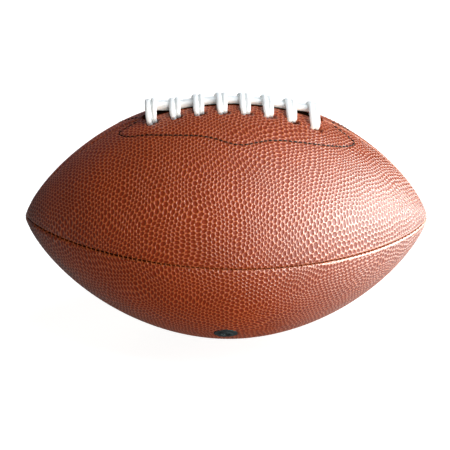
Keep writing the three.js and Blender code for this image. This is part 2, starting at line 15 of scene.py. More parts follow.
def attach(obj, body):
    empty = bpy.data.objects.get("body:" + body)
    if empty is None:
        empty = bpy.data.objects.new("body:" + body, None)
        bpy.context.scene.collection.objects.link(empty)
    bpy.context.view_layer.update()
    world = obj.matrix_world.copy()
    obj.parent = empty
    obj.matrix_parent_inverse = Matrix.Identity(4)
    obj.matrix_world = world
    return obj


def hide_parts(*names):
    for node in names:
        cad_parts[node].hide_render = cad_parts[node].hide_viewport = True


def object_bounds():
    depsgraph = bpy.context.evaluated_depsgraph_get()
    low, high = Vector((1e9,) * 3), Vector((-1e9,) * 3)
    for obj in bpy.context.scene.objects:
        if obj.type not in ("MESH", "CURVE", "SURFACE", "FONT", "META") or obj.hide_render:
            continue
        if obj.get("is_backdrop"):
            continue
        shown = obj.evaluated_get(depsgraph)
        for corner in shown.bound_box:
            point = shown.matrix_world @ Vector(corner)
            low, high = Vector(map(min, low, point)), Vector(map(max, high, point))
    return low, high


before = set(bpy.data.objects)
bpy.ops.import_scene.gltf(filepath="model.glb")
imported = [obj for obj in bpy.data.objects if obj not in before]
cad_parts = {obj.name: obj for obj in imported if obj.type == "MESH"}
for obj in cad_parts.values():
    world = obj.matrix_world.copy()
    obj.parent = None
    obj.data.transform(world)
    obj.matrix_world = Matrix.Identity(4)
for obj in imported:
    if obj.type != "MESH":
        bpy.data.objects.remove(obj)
cad_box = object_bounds()
cad_size = [round(1000 * side) for side in cad_box[1] - cad_box[0]]
print("solids loaded:", len(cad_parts), "in a box of", cad_size, "mm")

# %% [markdown]
# ## Small tools
#
# Sizes below are in millimetres, as on a maker's drawing, and one factor turns them into Blender's
# metres. Colours are written as sRGB hex values, as a colour picker shows them, while a shader
# works in linear light, so one function converts them. Another adds a node: what it is given for
# an input is linked if it is a socket, and set if it is a value.

# %% Units, colours and nodes
MM = 0.001


def linear(hex_colour, share=1):
    """An sRGB hex colour as linear RGBA, dimmed to a share of its light."""
    parts = [int(hex_colour[i : i + 2], 16) / 255 for i in (1, 3, 5)]
    light = [p / 12.92 if p <= 0.04045 else ((p + 0.055) / 1.055) ** 2.4 for p in parts]
    return [share * part for part in light] + [1]


def give_inputs(tree, node, inputs):
    """Links each input to its socket, or sets it to its value."""
    for name, value in inputs.items():
        if isinstance(value, bpy.types.NodeSocket):
            tree.links.new(value, node.inputs[name])
        else:
            node.inputs[name].default_value = value


def add_node(tree, kind, inputs=None, **settings):
    """Adds a node of a kind, makes its settings, and gives it its inputs."""
    node = tree.nodes.new("ShaderNode" + kind)
    for name, value in settings.items():
        setattr(node, name, value)
    give_inputs(tree, node, inputs or {})
    return node


def new_material(name):
    """A material with its node tree and its Principled shader."""
    material = bpy.data.materials.new(name)
    material.use_nodes = True
    tree = material.node_tree
    return material, tree, tree.nodes["Principled BSDF"]


print("one millimetre is", MM, "of Blender's units")

# %% Finishing a piece


def dress(piece, material):
    piece.data.materials.clear()
    piece.data.materials.append(material)


def finish_piece(piece, material, slot, *nodes):
    """Gives a piece its material and its place in the frame, where it stands for some CAD nodes."""
    dress(piece, material)
    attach(piece, "root")
    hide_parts(*nodes)
    print(piece.name, "has", len(piece.data.polygons), "faces and stands for", ", ".join(nodes))


# %% [markdown]
# ## The form of the ball
#
# A football isn't an ellipse turned about its axis: its belly is fuller and its ends are more
# pointed. Two powers set that, one for the belly and one for the tips. A drawn curve could be spun
# into the same form, but a formula also says where any other point lies. Every piece is placed by
# the same three values: its place along the axis, its angle round it, and its depth under the
# outer face. The lacing pulls the leather in a little, and that is part of the form too.

# %% Profile of the ball
BALL_LENGTH = 281
BALL_DIAMETER = 170
BELLY_FULLNESS = 1.94
TIP_SHARPNESS = 0.735
REST_FLAT_DEPTH = 0.4

half_length = BALL_LENGTH / 2
ball_radius = BALL_DIAMETER / 2
centre_height = ball_radius - REST_FLAT_DEPTH


def profile_radius(x):
    share = np.abs(x) / half_length
    return ball_radius * (1 - share**BELLY_FULLNESS) ** TIP_SHARPNESS


def profile_slope(x):
    share = np.abs(x) / half_length
    belly = BELLY_FULLNESS * share ** (BELLY_FULLNESS - 1)
    tip = TIP_SHARPNESS * (1 - share**BELLY_FULLNESS) ** (TIP_SHARPNESS - 1)
    return -np.sign(x) * ball_radius * belly * tip / half_length


def place_of_radius(radius):
    share = (1 - (radius / ball_radius) ** (1 / TIP_SHARPNESS)) ** (1 / BELLY_FULLNESS)
    return half_length * share


print(f"girth {math.pi * BALL_DIAMETER:.0f} mm")

# %% Places on the ball
LACE_DRAW_IN = 2.2
LACE_DRAW_IN_LENGTH = 170
LACE_DRAW_IN_WIDTH = 170
TIP_DIMPLE_RADIUS = 1.2
MERIDIAN_POINTS = 4001

quarter_turn = math.pi / 2
BACK_SEAM, LACE_SEAM, FRONT_SEAM, BELLY_SEAM = (k * quarter_turn for k in range(4))


def fade(share):
    """One in the middle, falling smoothly to nothing at a share of one."""
    return np.where(np.abs(share) < 1, (1 + np.cos(np.pi * share)) / 2, 0)


def on_ball(x, angle, depth):
    """Points under the outer face, in metres in the frame."""
    slope = profile_slope(x)
    across = (angle - LACE_SEAM) * profile_radius(x)
    drawn = LACE_DRAW_IN * fade(2 * x / LACE_DRAW_IN_LENGTH) * fade(2 * across / LACE_DRAW_IN_WIDTH)
    sunk = (depth + drawn) / np.hypot(slope, 1)
    radius = profile_radius(x) - sunk
    places = [x + sunk * slope, radius * np.cos(angle), radius * np.sin(angle) + centre_height]
    return MM * np.stack(np.broadcast_arrays(*places), axis=-1)


def on_top(x, across, height):
    """Points by their distance from the slit along the leather, towards the front, and their height."""
    x, across, height = np.broadcast_arrays(*(np.asarray(v, float) for v in (x, across, height)))
    return on_ball(x, LACE_SEAM + across / profile_radius(x), -height)


cover_end = place_of_radius(TIP_DIMPLE_RADIUS)
dense_places = cover_end * np.sin(np.linspace(-quarter_turn, quarter_turn, MERIDIAN_POINTS))
dense_steps = np.hypot(np.diff(dense_places), np.diff(profile_radius(dense_places)))
dense_run = np.concatenate([[0], np.cumsum(dense_steps)])
meridian = dense_run[-1]
print(f"tip to tip over the leather {meridian:.0f} mm")

# %% [markdown]
# ## Camera
#
# The photograph looks down on the ball a little from the left. The camera stands 0.8 m away.
# Its turn, height and roll were found by fitting the ball's outline, its front seam and the ends
# of the lacing. The ball isn't quite in the middle of the picture, so the camera aims beside it.

# %% Camera
CAMERA_DISTANCE = 800
CAMERA_TURN = math.radians(-5.4)
CAMERA_RISE = math.radians(23.7)
CAMERA_ROLL = math.radians(2.24)
LENS = 91.8
SENSOR = 36
AIM_LEFT = 2.86
AIM_BELOW = 5.9

ball_centre = Vector((0, 0, centre_height))
backward = Vector(
    (
        math.sin(CAMERA_TURN) * math.cos(CAMERA_RISE),
        -math.cos(CAMERA_TURN) * math.cos(CAMERA_RISE),
        math.sin(CAMERA_RISE),
    )
)
level = backward.to_track_quat("Z", "Y")
turned = level @ Matrix.Rotation(CAMERA_ROLL, 3, "Z").to_quaternion()
aim_shift = turned @ Vector((-AIM_LEFT, -AIM_BELOW, 0))

camera_data = bpy.data.cameras.new("camera")
camera_data.lens = LENS
camera_data.sensor_width = SENSOR
camera = bpy.data.objects.new("camera", camera_data)
camera.location = MM * (ball_centre + CAMERA_DISTANCE * backward + aim_shift)
camera.rotation_mode = "QUATERNION"
camera.rotation_quaternion = turned
bpy.context.scene.collection.objects.link(camera)
bpy.context.scene.camera = camera
print("camera at", [round(1000 * v) for v in camera.location], "mm")

# %% [markdown]
# ## Floor and light
#
# The ball lies on a plain white floor, in a room that is bright on its right and dim on its left.
# A lamp does two things to leather: it lights the colour, and it shows as a glare in the gloss. In
# the photograph these two differ. The light on the colour is warm and even, while the glare is
# broad, cool and all on the right, as from a window and a white wall. One lamp can't give both, so
# each lamp below says what it gives: light, gloss or both.
#
# The floor works in the same way. It is white to the camera, and mid grey to the light that
# bounces off it. In the gloss it is dark at the left, bright at the right, and a little less dark
# behind the ball, which gives the ball's lower rims their cool edge.

# %% Floor
FLOOR_SIZE = 8
WHITE = "#ffffff"
FLOOR_COLOUR = "#b0b0b0"
FLOOR_LIFT = 0.9
FLOOR_ROUGHNESS = 0.9
BOUNCE_COLOUR = "#74787a"
GLOSS_COLOUR = "#20282e"
COOL_GLARE = "#d0fbff"
# The glow of the floor in the gloss: its strength, and the places where it begins and is full
RIGHT_GLARE = 3.2
RIGHT_GLARE_PLACES = (30, 350)
BEHIND_GLARE = 0.26
BEHIND_GLARE_PLACES = (-90, -20)

bpy.ops.object.select_all(action="DESELECT")
bpy.ops.mesh.primitive_plane_add(size=FLOOR_SIZE)
floor = bpy.context.object
floor.name = "floor"
floor_paint, tree, shader = new_material("matt white floor paint")
light_path = add_node(tree, "LightPath")
seen = light_path.outputs["Is Camera Ray"]
mirrored = light_path.outputs["Is Glossy Ray"]
floor_place = add_node(tree, "TexCoord").outputs["Object"]
along, beyond, _ = add_node(tree, "SeparateXYZ", {0: floor_place}).outputs
start, full = (MM * place for place in BEHIND_GLARE_PLACES)
behind = add_node(
    tree, "MapRange", {"Value": beyond, "From Min": start, "From Max": full, "To Max": BEHIND_GLARE}
).outputs["Result"]
start, full = (MM * place for place in RIGHT_GLARE_PLACES)
glare = add_node(
    tree,
    "MapRange",
    {"Value": along, "From Min": start, "From Max": full, "To Min": behind, "To Max": RIGHT_GLARE},
).outputs["Result"]
lift = add_node(tree, "Math", {0: seen, 1: FLOOR_LIFT}, operation="MULTIPLY").outputs[0]
glow = add_node(tree, "Math", {0: mirrored, 1: glare, 2: lift}, operation="MULTIPLY_ADD").outputs[0]

# What the floor's colour is to each kind of ray
grey = {"Factor": mirrored, "A": linear(BOUNCE_COLOUR), "B": linear(GLOSS_COLOUR)}
bounce = add_node(tree, "Mix", grey, data_type="RGBA").outputs["Result"]
paint = {"Factor": seen, "A": bounce, "B": linear(FLOOR_COLOUR)}
painted = add_node(tree, "Mix", paint, data_type="RGBA").outputs["Result"]
tint = {"Factor": mirrored, "A": linear(WHITE), "B": linear(COOL_GLARE)}
tinted = add_node(tree, "Mix", tint, data_type="RGBA").outputs["Result"]
give_inputs(tree, shader, {"Base Color": painted, "Emission Color": tinted, "Emission Strength": glow})
give_inputs(tree, shader, {"Roughness": FLOOR_ROUGHNESS, "Specular IOR Level": 0})
floor.data.materials.append(floor_paint)
floor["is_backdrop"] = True
print("floor", FLOOR_SIZE, "m wide")

# %% Light
SKY_COLOUR = "#a8c0d0"
SKY_STRENGTH = 0.05
DAYLIGHT = "#f4f8ff"
ROOM_LIGHT = "#fff1e2"
DUSK = "#98d0f4"
# Each lamp: its place and its size in millimetres, its watts, its colour, and what it gives
LAMPS = {
    "side_window": ((1150, -150, 330), (1500, 660), 3.5, DAYLIGHT, "light and gloss"),
    "window_glare": ((1150, -250, 330), (1500, 660), 28, COOL_GLARE, "gloss"),
    "white_wall": ((1000, -450, 650), (2400, 1700), 26, COOL_GLARE, "gloss"),
    "ceiling_lamp": ((650, -150, 1400), (1300, 1300), 25, DAYLIGHT, "light"),
    "right_softbox": ((1000, -700, 130), (900, 240), 7, ROOM_LIGHT, "light"),
    "front_softbox": ((540, -1250, 160), (900, 300), 14, ROOM_LIGHT, "light"),
    "left_softbox": ((-1100, -500, 250), (800, 600), 0.6, ROOM_LIGHT, "light"),
    "back_softbox": ((350, 1350, 300), (1200, 600), 14, ROOM_LIGHT, "light"),
    "back_wall": ((-500, 1400, 500), (3000, 1600), 3, DUSK, "gloss"),
}


def soft_lamp(name, place, size, power, colour, gives):
    """A rectangular lamp that faces the ball."""
    lamp = bpy.data.lights.new(name, "AREA")
    lamp.shape = "RECTANGLE"
    lamp.size, lamp.size_y = (MM * side for side in size)
    lamp.energy = power
    lamp.color = linear(colour)[:3]
    holder = bpy.data.objects.new(name, lamp)
    holder.location = MM * Vector(place)
    holder.rotation_mode = "QUATERNION"
    holder.rotation_quaternion = (Vector(place) - ball_centre).to_track_quat("Z", "Y")
    holder.visible_glossy = "gloss" in gives
    holder.visible_diffuse = "light" in gives
    bpy.context.scene.collection.objects.link(holder)


for name, facts in LAMPS.items():
    soft_lamp(name, *facts)

sky = bpy.data.worlds.new("sky")
sky.use_nodes = True
tree = sky.node_tree
seen = add_node(tree, "LightPath").outputs["Is Camera Ray"]
skies = {"Factor": seen, "A": linear(SKY_COLOUR, SKY_STRENGTH), "B": linear(WHITE)}
backdrop = add_node(tree, "Mix", skies, data_type="RGBA").outputs["Result"]
give_inputs(tree, tree.nodes["Background"], {"Color": backdrop})
bpy.context.scene.world = sky
bpy.context.scene.view_settings.view_transform = "Standard"
print("lamps:", ", ".join(LAMPS))

# %% [markdown]
# ## Pebbled panels
#
# Each panel is cut from a flat sheet of pebbled leather, sewn to its neighbours inside out and
# turned, so its edges roll into the seams. It is made in the same order: a flat sheet with a
# thickness, its outer side divided finely, then wrapped on the ball. Sculpting or a displacement
# map could give the pebbles, but a formula keeps their real spacing and leaves them in the mesh.

# %% A flat sheet with a thickness
SHEET_ROWS = 61
SHEET_COLUMNS = 24
SHEET_CUTS = 7
FLAT_THICKNESS = 0.1
FACING_UP = 0.9


def select_faces(piece, chosen):
    """Selects the faces of a piece for which a test holds, and nothing else."""
    bpy.context.tool_settings.mesh_select_mode = (False, False, True)
    bpy.ops.object.mode_set(mode="EDIT")
    bpy.ops.mesh.select_all(action="DESELECT")
    bpy.ops.object.mode_set(mode="OBJECT")
    for face in piece.data.polygons:
        face.select = chosen(face)
    bpy.ops.object.mode_set(mode="EDIT")


def flat_sheet(name):
    """A flat sheet of one unit, finely divided on its outer side and coarsely on its inner one."""
    bpy.ops.object.select_all(action="DESELECT")
    bpy.ops.mesh.primitive_grid_add(x_subdivisions=SHEET_ROWS, y_subdivisions=SHEET_COLUMNS, size=1)
    sheet = bpy.context.object
    sheet.name = name
    wall = sheet.modifiers.new("wall", "SOLIDIFY")
    wall.thickness = FLAT_THICKNESS
    wall.offset = -1
    bpy.ops.object.modifier_apply(modifier=wall.name)
    select_faces(sheet, lambda face: face.normal.z > FACING_UP)
    bpy.ops.mesh.subdivide(number_cuts=SHEET_CUTS)
    bpy.ops.object.mode_set(mode="OBJECT")
    return sheet


def vertices_of(mesh):
    places = np.empty(3 * len(mesh.vertices))
    mesh.vertices.foreach_get("co", places)
    return places.reshape(-1, 3)


print("columns of a sheet, before its outer side is divided:", SHEET_COLUMNS)

# %% [markdown]
# The pebbles lie in a close honeycomb. Three waves that cross at sixty degrees make one: where
# all three crests meet there is a dimple, and the raised net runs between. Gentle long ripples
# bend the rows, and short ones shift each cell a little, as embossing does.

# %% Ripples and pebbles
PEBBLE_PITCH = 3.0
PEBBLE_STRETCH = 1.13
PEBBLE_DEPTH = 0.34
NET_FOOT = 0.38
# How far the rows of pebbles wander, and over what length
RIPPLES = ((2.2, 95), (0.55, 24), (0.2, 9))
RIPPLE_WAVES = 12
RIPPLE_LENGTHS = (0.75, 1.35)
# The least and the most that three crossed waves can add up to
LEAST_SUM = -1.5
MOST_SUM = 3.0

wave_number = 2 * math.pi / (PEBBLE_PITCH * math.cos(math.pi / 6))
wave_directions = [(math.cos(a), math.sin(a)) for a in (0, math.pi / 3, 2 * math.pi / 3)]


def ripples(along, across, length, seed):
    """A smooth random field: waves of about one length in many directions. Its spread is one."""
    draw = np.random.default_rng(seed)
    turns = draw.uniform(0, 2 * math.pi, RIPPLE_WAVES)
    lengths = length * draw.uniform(*RIPPLE_LENGTHS, RIPPLE_WAVES)
    starts = draw.uniform(0, 2 * math.pi, RIPPLE_WAVES)
    total = np.zeros_like(along)
    for turn, span, start in zip(turns, lengths, starts):
        run = along * math.cos(turn) + across * math.sin(turn)
        total += np.sin(2 * math.pi * run / span + start)
    return total * math.sqrt(2 / RIPPLE_WAVES)


def pebble_places(along, across, turn, seed):
    """Places on the embossing roller: turned for each panel, with bent rows and shifted cells."""
    u = along * math.cos(turn) - across * math.sin(turn)
    v = (along * math.sin(turn) + across * math.cos(turn)) / PEBBLE_STRETCH
    for k, (shift, length) in enumerate(RIPPLES):
        u = u + shift * ripples(along, across, length, seed + 2 * k)
        v = v + shift * ripples(along, across, length, seed + 2 * k + 1)
    return u, v


def dimples(u, v):
    """One in the middle of each dimple, nothing on the net between."""
    waves = sum(np.cos(wave_number * (u * c + v * s)) for c, s in wave_directions)
    return (waves - LEAST_SUM) / (MOST_SUM - LEAST_SUM)


print(f"a pebble every {PEBBLE_PITCH} mm, {PEBBLE_DEPTH} mm deep")

# %% [markdown]
# ## What the lacing and the valve do to the leather
#
# The lace goes through two rows of holes beside the slit. Its pull rounds their edges, so each is
# a soft-edged pit that the lace fills. A bracket-shaped line of stitching sews a patch under the
# lacing, and the thread sinks into a groove of its own. By hand it ran a little askew, and its
# left end came out shorter and wider. On the lower front panel a round recess holds the valve.
# Booleans would cut all of these with hard edges, so they are pressed into the sheet by formula.

# %% Bracket-shaped stitch line
STITCH_LINE_LENGTH = 162
STITCH_LINE_POINTS = 120
STITCH_CORNER_REACH = 9
STITCH_ARCH_RISE = 34
STITCH_ARCH_POWER = 0.6
STITCH_POINT_RISE = 7
STITCH_POINT_WIDTH = 16
STITCH_START_REACH = 4
STITCH_START_PLACE = 68
# The left end: its share of the full length, how much wider it is, and from where on
STITCH_LEFT_SHARE = 0.945
STITCH_LEFT_REACH = 4.5
STITCH_LEFT_START = 60
STITCH_LEFT_FADE = 21
LACE_SKEW = 0.06


def smooth_step(share):
    share = np.clip(share, 0, 1)
    return share * share * (3 - 2 * share)


def stitch_reach(x):
    """How far the line lies from the slit."""
    share = np.minimum(1, np.abs(2 * x / STITCH_LINE_LENGTH))
    arch = STITCH_ARCH_RISE * (1 - share**2) ** STITCH_ARCH_POWER
    point = STITCH_POINT_RISE * np.exp(-((x / STITCH_POINT_WIDTH) ** 2))
    wider = STITCH_LEFT_REACH * smooth_step((-x - STITCH_LEFT_START) / STITCH_LEFT_FADE)
    return STITCH_CORNER_REACH + arch + point + wider


def stitch_line(side):
    """The line on one side, as places along the ball and distances from the slit."""
    end = STITCH_LINE_LENGTH / 2
    x = end * np.sin(np.linspace(-quarter_turn, quarter_turn, STITCH_LINE_POINTS))
    start = [[-STITCH_START_PLACE, side * STITCH_START_REACH]]
    stop = [[STITCH_START_PLACE, side * STITCH_START_REACH]]
    arch = np.stack([x, side * stitch_reach(x) + LACE_SKEW * x], axis=1)
    line = np.concatenate([start, arch, stop])
    line[:, 0] *= np.where(line[:, 0] < 0, STITCH_LEFT_SHARE, 1)
    return line


def distance_to_line(x, across, line):
    """The distance of each place from a line of points."""
    least = np.full_like(x, np.inf)
    for (x0, a0), (x1, a1) in zip(line[:-1], line[1:]):
        dx, da = x1 - x0, a1 - a0
        share = np.clip(((x - x0) * dx + (across - a0) * da) / (dx * dx + da * da), 0, 1)
        least = np.minimum(least, np.hypot(x - x0 - share * dx, across - a0 - share * da))
    return least


print("points of a stitch line:", len(stitch_line(1)))

# %% Holes of the lace
LACE_CROSSES = 8
LACE_PITCH = 15.5
LACE_START = -0.7
LACE_HOLE_DISTANCE = 14.5
LACE_HOLE_REACH = 1.4
LACE_HOLE_RADIUS = 2.1
LACE_HOLE_SHIFT = 0.4
LACE_HOLE_OUTWARD = 1.5
LACE_HOLE_EDGE = 1.2

cross_places = [LACE_START + (k - (LACE_CROSSES - 1) / 2) * LACE_PITCH for k in range(LACE_CROSSES)]


def hole_across(x, side):
    """How far a hole lies from the slit: the two rows run a little askew, as in the photograph."""
    return side * LACE_HOLE_DISTANCE + LACE_SKEW * x


def lace_holes(x, across):
    """One inside the holes of the lace panels, nothing away from them."""
    deepest = np.zeros_like(x)
    for place, side in [(place, side) for place in cross_places for side in (1, -1)]:
        beside = np.maximum(0, np.abs(x - place - LACE_HOLE_SHIFT) - LACE_HOLE_REACH)
        off = np.hypot(beside, across - hole_across(place, side) - side * LACE_HOLE_OUTWARD)
        share = (LACE_HOLE_RADIUS + LACE_HOLE_EDGE - off) / LACE_HOLE_EDGE
        deepest = np.maximum(deepest, smooth_step(share))
    return deepest


print("holes in each lace panel:", len(cross_places))

# %% Marks on the panels
STITCH_GROOVE_WIDTH = 0.75
STITCH_GROOVE_DEPTH = 0.5
LACE_HOLE_DEPTH = 4.5
SLIT_END = 64
SLIT_SHADE_REACH = 5.4
SLIT_SHADE_EDGE = 1.4
SLIT_SHADE_FADE = 6
# How dark a mark's painted shade is: at one it has the colour of a seam, at two that of a hole
GROOVE_SHADE = 0.7
HOLE_SHADE = 2

VALVE_PLACE = -5
VALVE_ANGLE = FRONT_SEAM + quarter_turn / 2
VALVE_RECESS_RADIUS = 7.7
VALVE_RECESS_DEPTH = 1.6
VALVE_RECESS_EDGE = 0.9


def lace_panel_marks(x, angle):
    """How dark the painted shade is in the stitched groove, the holes and beside the slit, and how deep they
    are.
    """
    across = (angle - LACE_SEAM) * profile_radius(x)
    off = distance_to_line(x, across, stitch_line(np.sign(np.mean(across))))
    groove = np.exp(-((off / STITCH_GROOVE_WIDTH) ** 2))
    holes = lace_holes(x, across)
    # Beside the slit the leather is painted dark: a painted shadow under the long strands
    slit = smooth_step((SLIT_SHADE_REACH - np.abs(across)) / SLIT_SHADE_EDGE)
    slit = slit * smooth_step((SLIT_END - np.abs(x)) / SLIT_SHADE_FADE)
    marked = np.maximum(GROOVE_SHADE * groove, HOLE_SHADE * np.maximum(holes, slit))
    return marked, STITCH_GROOVE_DEPTH * groove + LACE_HOLE_DEPTH * holes


def valve_panel_marks(x, angle):
    """How dark the painted shade in the valve's recess is, and how deep."""
    off = np.hypot(x - VALVE_PLACE, profile_radius(x) * (angle - VALVE_ANGLE))
    recess = smooth_step((VALVE_RECESS_RADIUS + VALVE_RECESS_EDGE - off) / VALVE_RECESS_EDGE)
    return recess, VALVE_RECESS_DEPTH * recess


print("the valve lies", VALVE_PLACE, "mm along the ball")

# %% [markdown]
# The wrapping works on columns of the flat sheet. The first and the last column become the rolled
# edge, and the rest spread evenly over the panel. Towards the left tip the seam is slack: it gapes
# a little and puckers at each stitch. Towards the right tip it is drawn tight, and a wider strip of
# its edge is pressed plain. Three things are kept for each point so that the leather's finish can
# use them: where the pebbles are, as the sheet's UV map, how strong they are, and how much painted
# shade darkens the point where it lies deep in a seam, a groove or a hole, or beside the slit.

# %% Edges of a panel
COVER_THICKNESS = 2
SEAM_ROLL_WIDTH = 2.0
SEAM_ROLL_DEPTH = 1.6
SEAM_FACE_GAP = 0.18
SEAM_GAPE = 0.3
TURNED_IN_DEPTH = 3.3
TURNED_IN_WIDTH = 1.8
SEAM_STITCH_PITCH = 3.5
SEAM_PUCKER = 0.2
# The share of the first column that goes down into the seam as a wall
WALL_SHARE = 0.3
# Where the slack ends, as a share of the way from tip to tip, and how long it takes to
SLACK_END = 0.42
SLACK_FADE = 60
# How many columns stay plain, how many more do at the right, and from where on
PLAIN_EDGE = 0.45
PLAIN_EDGE_MORE = 0.35
PLAIN_EDGE_START = 25
PLAIN_EDGE_FADE = 60
PEBBLE_FADE = 0.4
TIP_PLAIN_RADIUS = 4
TIP_FADE = 6


def rolled_edge(edge, run, outer):
    """Distance from the seam and depth of the columns that roll into it, outside and inside."""
    slack = smooth_step((SLACK_END * meridian - run) / SLACK_FADE)
    roll = np.clip((edge - WALL_SHARE) / (1 - WALL_SHARE), 0, 1) * quarter_turn
    offset = SEAM_FACE_GAP + SEAM_GAPE * slack + SEAM_ROLL_WIDTH * (1 - np.cos(roll))
    depth = SEAM_ROLL_DEPTH * (1 - np.sin(roll))
    wall = np.clip(1 - edge / WALL_SHARE, 0, 1)
    depth += wall * (TURNED_IN_DEPTH - SEAM_ROLL_DEPTH)
    pulled = 0.5 - 0.5 * np.cos(2 * math.pi * run / SEAM_STITCH_PITCH)
    depth += SEAM_PUCKER * (1 + slack) * pulled * np.sin(2 * roll)
    inner_depth = np.where(edge < 0.5, TURNED_IN_DEPTH, COVER_THICKNESS)
    inner_offset = np.where(edge < 0.5, TURNED_IN_WIDTH, SEAM_ROLL_WIDTH + SEAM_FACE_GAP)
    return np.where(outer, offset, inner_offset), np.where(outer, depth, inner_depth)


def pebble_strength(x, edge):
    """How strong the pebbles are: they fade at the seams and at the tips."""
    plain = PLAIN_EDGE + PLAIN_EDGE_MORE * smooth_step((x - PLAIN_EDGE_START) / PLAIN_EDGE_FADE)
    from_tip = smooth_step((profile_radius(x) - TIP_PLAIN_RADIUS) / TIP_FADE)
    return smooth_step((edge - plain) / PEBBLE_FADE) * from_tip


slack_gap = 2 * (SEAM_FACE_GAP + SEAM_GAPE)
print(f"a seam is {2 * SEAM_FACE_GAP:.2f} mm wide, and {slack_gap:.2f} mm where it is slack")

# %% Wrap a sheet on the ball
# The share of the roll's depth below which a seam is darkened with painted shade
SEAM_DARK_START = 0.4


def keep_values(mesh, u, v, relief, dark):
    """Keeps the pebbles' places as a UV map and two shares as attributes."""
    corners = np.empty(len(mesh.loops), dtype=np.int32)
    mesh.loops.foreach_get("vertex_index", corners)
    layer = mesh.uv_layers[0]
    layer.name = "pebbles"
    layer.data.foreach_set("uv", np.stack([u, v], axis=1)[corners].ravel())
    for name, values in (("relief", relief), ("dark", dark)):
        attribute = mesh.attributes.new(name, "FLOAT", "POINT")
        attribute.data.foreach_set("value", values.astype(np.float32))


def wrap_panel(sheet, seam, turn, seed, marks):
    """Wraps a flat sheet on the quarter of the ball after one seam."""
    flat = vertices_of(sheet.data)
    run = (0.5 + flat[:, 0]) * meridian
    column = 0.5 - flat[:, 1]
    outer = flat[:, 2] > -FLAT_THICKNESS / 2
    x = np.interp(run, dense_run, dense_places)
    far_half = column > 0.5
    edge = SHEET_COLUMNS * np.where(far_half, 1 - column, column)

    offset, depth = rolled_edge(edge, run, outer)
    radius = profile_radius(x) - depth / np.hypot(profile_slope(x), 1)
    edge_turn = np.arcsin(offset / np.maximum(radius, 2 * SEAM_ROLL_WIDTH))
    share = np.clip((edge - 1) / (SHEET_COLUMNS / 2 - 1), 0, 1)
    from_seam = edge_turn + share * (quarter_turn / 2 - edge_turn)
    angle = seam + np.where(far_half, quarter_turn - from_seam, from_seam)

    along = run - meridian / 2
    across = profile_radius(x) * (angle - seam - quarter_turn / 2)
    u, v = pebble_places(along, across, turn, seed)
    relief = pebble_strength(x, edge)
    # Painted shade deep in the seam's roll
    in_seam = (depth / SEAM_ROLL_DEPTH - SEAM_DARK_START) / (1 - SEAM_DARK_START)
    dark = np.where(edge < 1, smooth_step(in_seam), 0)
    if marks:
        marked, sunk = marks(x, angle)
        relief *= 1 - np.clip(marked / GROOVE_SHADE, 0, 1)
        dark = np.maximum(dark, marked)
        depth = depth + np.where(outer, sunk, 0)
    pebbled = smooth_step(dimples(u, v) / NET_FOOT)
    depth = depth + np.where(outer, PEBBLE_DEPTH * relief * pebbled, 0)

    places = on_ball(x, angle, depth)
    places[:, 2] = np.maximum(places[:, 2], 0)
    sheet.data.vertices.foreach_set("co", places.ravel())
    keep_values(sheet.data, u, v, relief, dark)
    sheet.data.update()


print(f"a panel covers {math.degrees(quarter_turn):.0f} degrees of the ball")

# %% [markdown]
# ## Leather
#
# The cover is a composite leather: cloth coated with polyurethane, embossed while warm, and
# coloured so that the dimples are dark red and the raised net is a lighter tan. The coating gives
# it a satin gloss. The finish follows the pebbles through the UV map: the same three waves set
# the colour, and a little bump sharpens the net that is already in the mesh. A picture of leather
# could be used as well, but it would stretch over the panels and wouldn't meet the mesh's pebbles.

# %% Pebbled composite leather
NET_COLOUR = "#bd591e"
DIMPLE_COLOUR = "#822b08"
CELL_TONE_SIZE = 4
# A dimple's dark spot begins at the first value and is full between the other two
SPOT_START = 0.03
SPOT_LEAST = 0.17
SPOT_MOST = 0.36

leather, tree, shader = new_material("pebbled composite leather")
pebble_map = add_node(tree, "UVMap", uv_map="pebbles").outputs["UV"]
crests = []
for c, s in wave_directions:
    wave = (wave_number * c, wave_number * s, 0)
    phase = add_node(tree, "VectorMath", {0: pebble_map, 1: wave}, operation="DOT_PRODUCT")
    crests.append(add_node(tree, "Math", {0: phase.outputs["Value"]}, operation="COSINE").outputs[0])
waves = crests[0]
for crest in crests[1:]:
    waves = add_node(tree, "Math", {0: waves, 1: crest}, operation="ADD").outputs[0]
sums = {"Value": waves, "From Min": LEAST_SUM, "From Max": MOST_SUM}
dimple = add_node(tree, "MapRange", sums).outputs["Result"]
relief = add_node(tree, "Attribute", attribute_name="relief").outputs["Fac"]
dimple = add_node(tree, "Math", {0: dimple, 1: relief}, operation="MULTIPLY").outputs[0]

# The dimples are printed darker, some more than others
object_place = add_node(tree, "TexCoord").outputs["Object"]
cells = {"Vector": object_place, "Scale": 1 / (CELL_TONE_SIZE * MM), "Detail": 1}
cell_tone = add_node(tree, "TexNoise", cells).outputs["Fac"]
spots = {"Value": cell_tone, "To Min": SPOT_LEAST, "To Max": SPOT_MOST}
spot_end = add_node(tree, "MapRange", spots).outputs["Result"]
spots = {"Value": dimple, "From Min": SPOT_START, "From Max": spot_end}
spot = add_node(tree, "MapRange", spots, interpolation_type="SMOOTHSTEP").outputs["Result"]
inks = {"Factor": spot, "A": linear(NET_COLOUR), "B": linear(DIMPLE_COLOUR)}
printed = add_node(tree, "Mix", inks, data_type="RGBA").outputs["Result"]
print("nodes for the print:", len(tree.nodes))

# %% Clouds and painted shade on the leather
# Painted shade: the dark colour of seams, grooves and the valve's recess, and the near-black of holes and the
# slit
PAINTED_SEAM_SHADE = "#6a260c"
PAINTED_HOLE_SHADE = "#24160e"
MOTTLE_SIZE = 30
MOTTLE_LEAST = 0.92
MOTTLE_MOST = 1.06
# Most values of a noise texture lie between these
NOISE_LOW = 0.3
NOISE_HIGH = 0.7

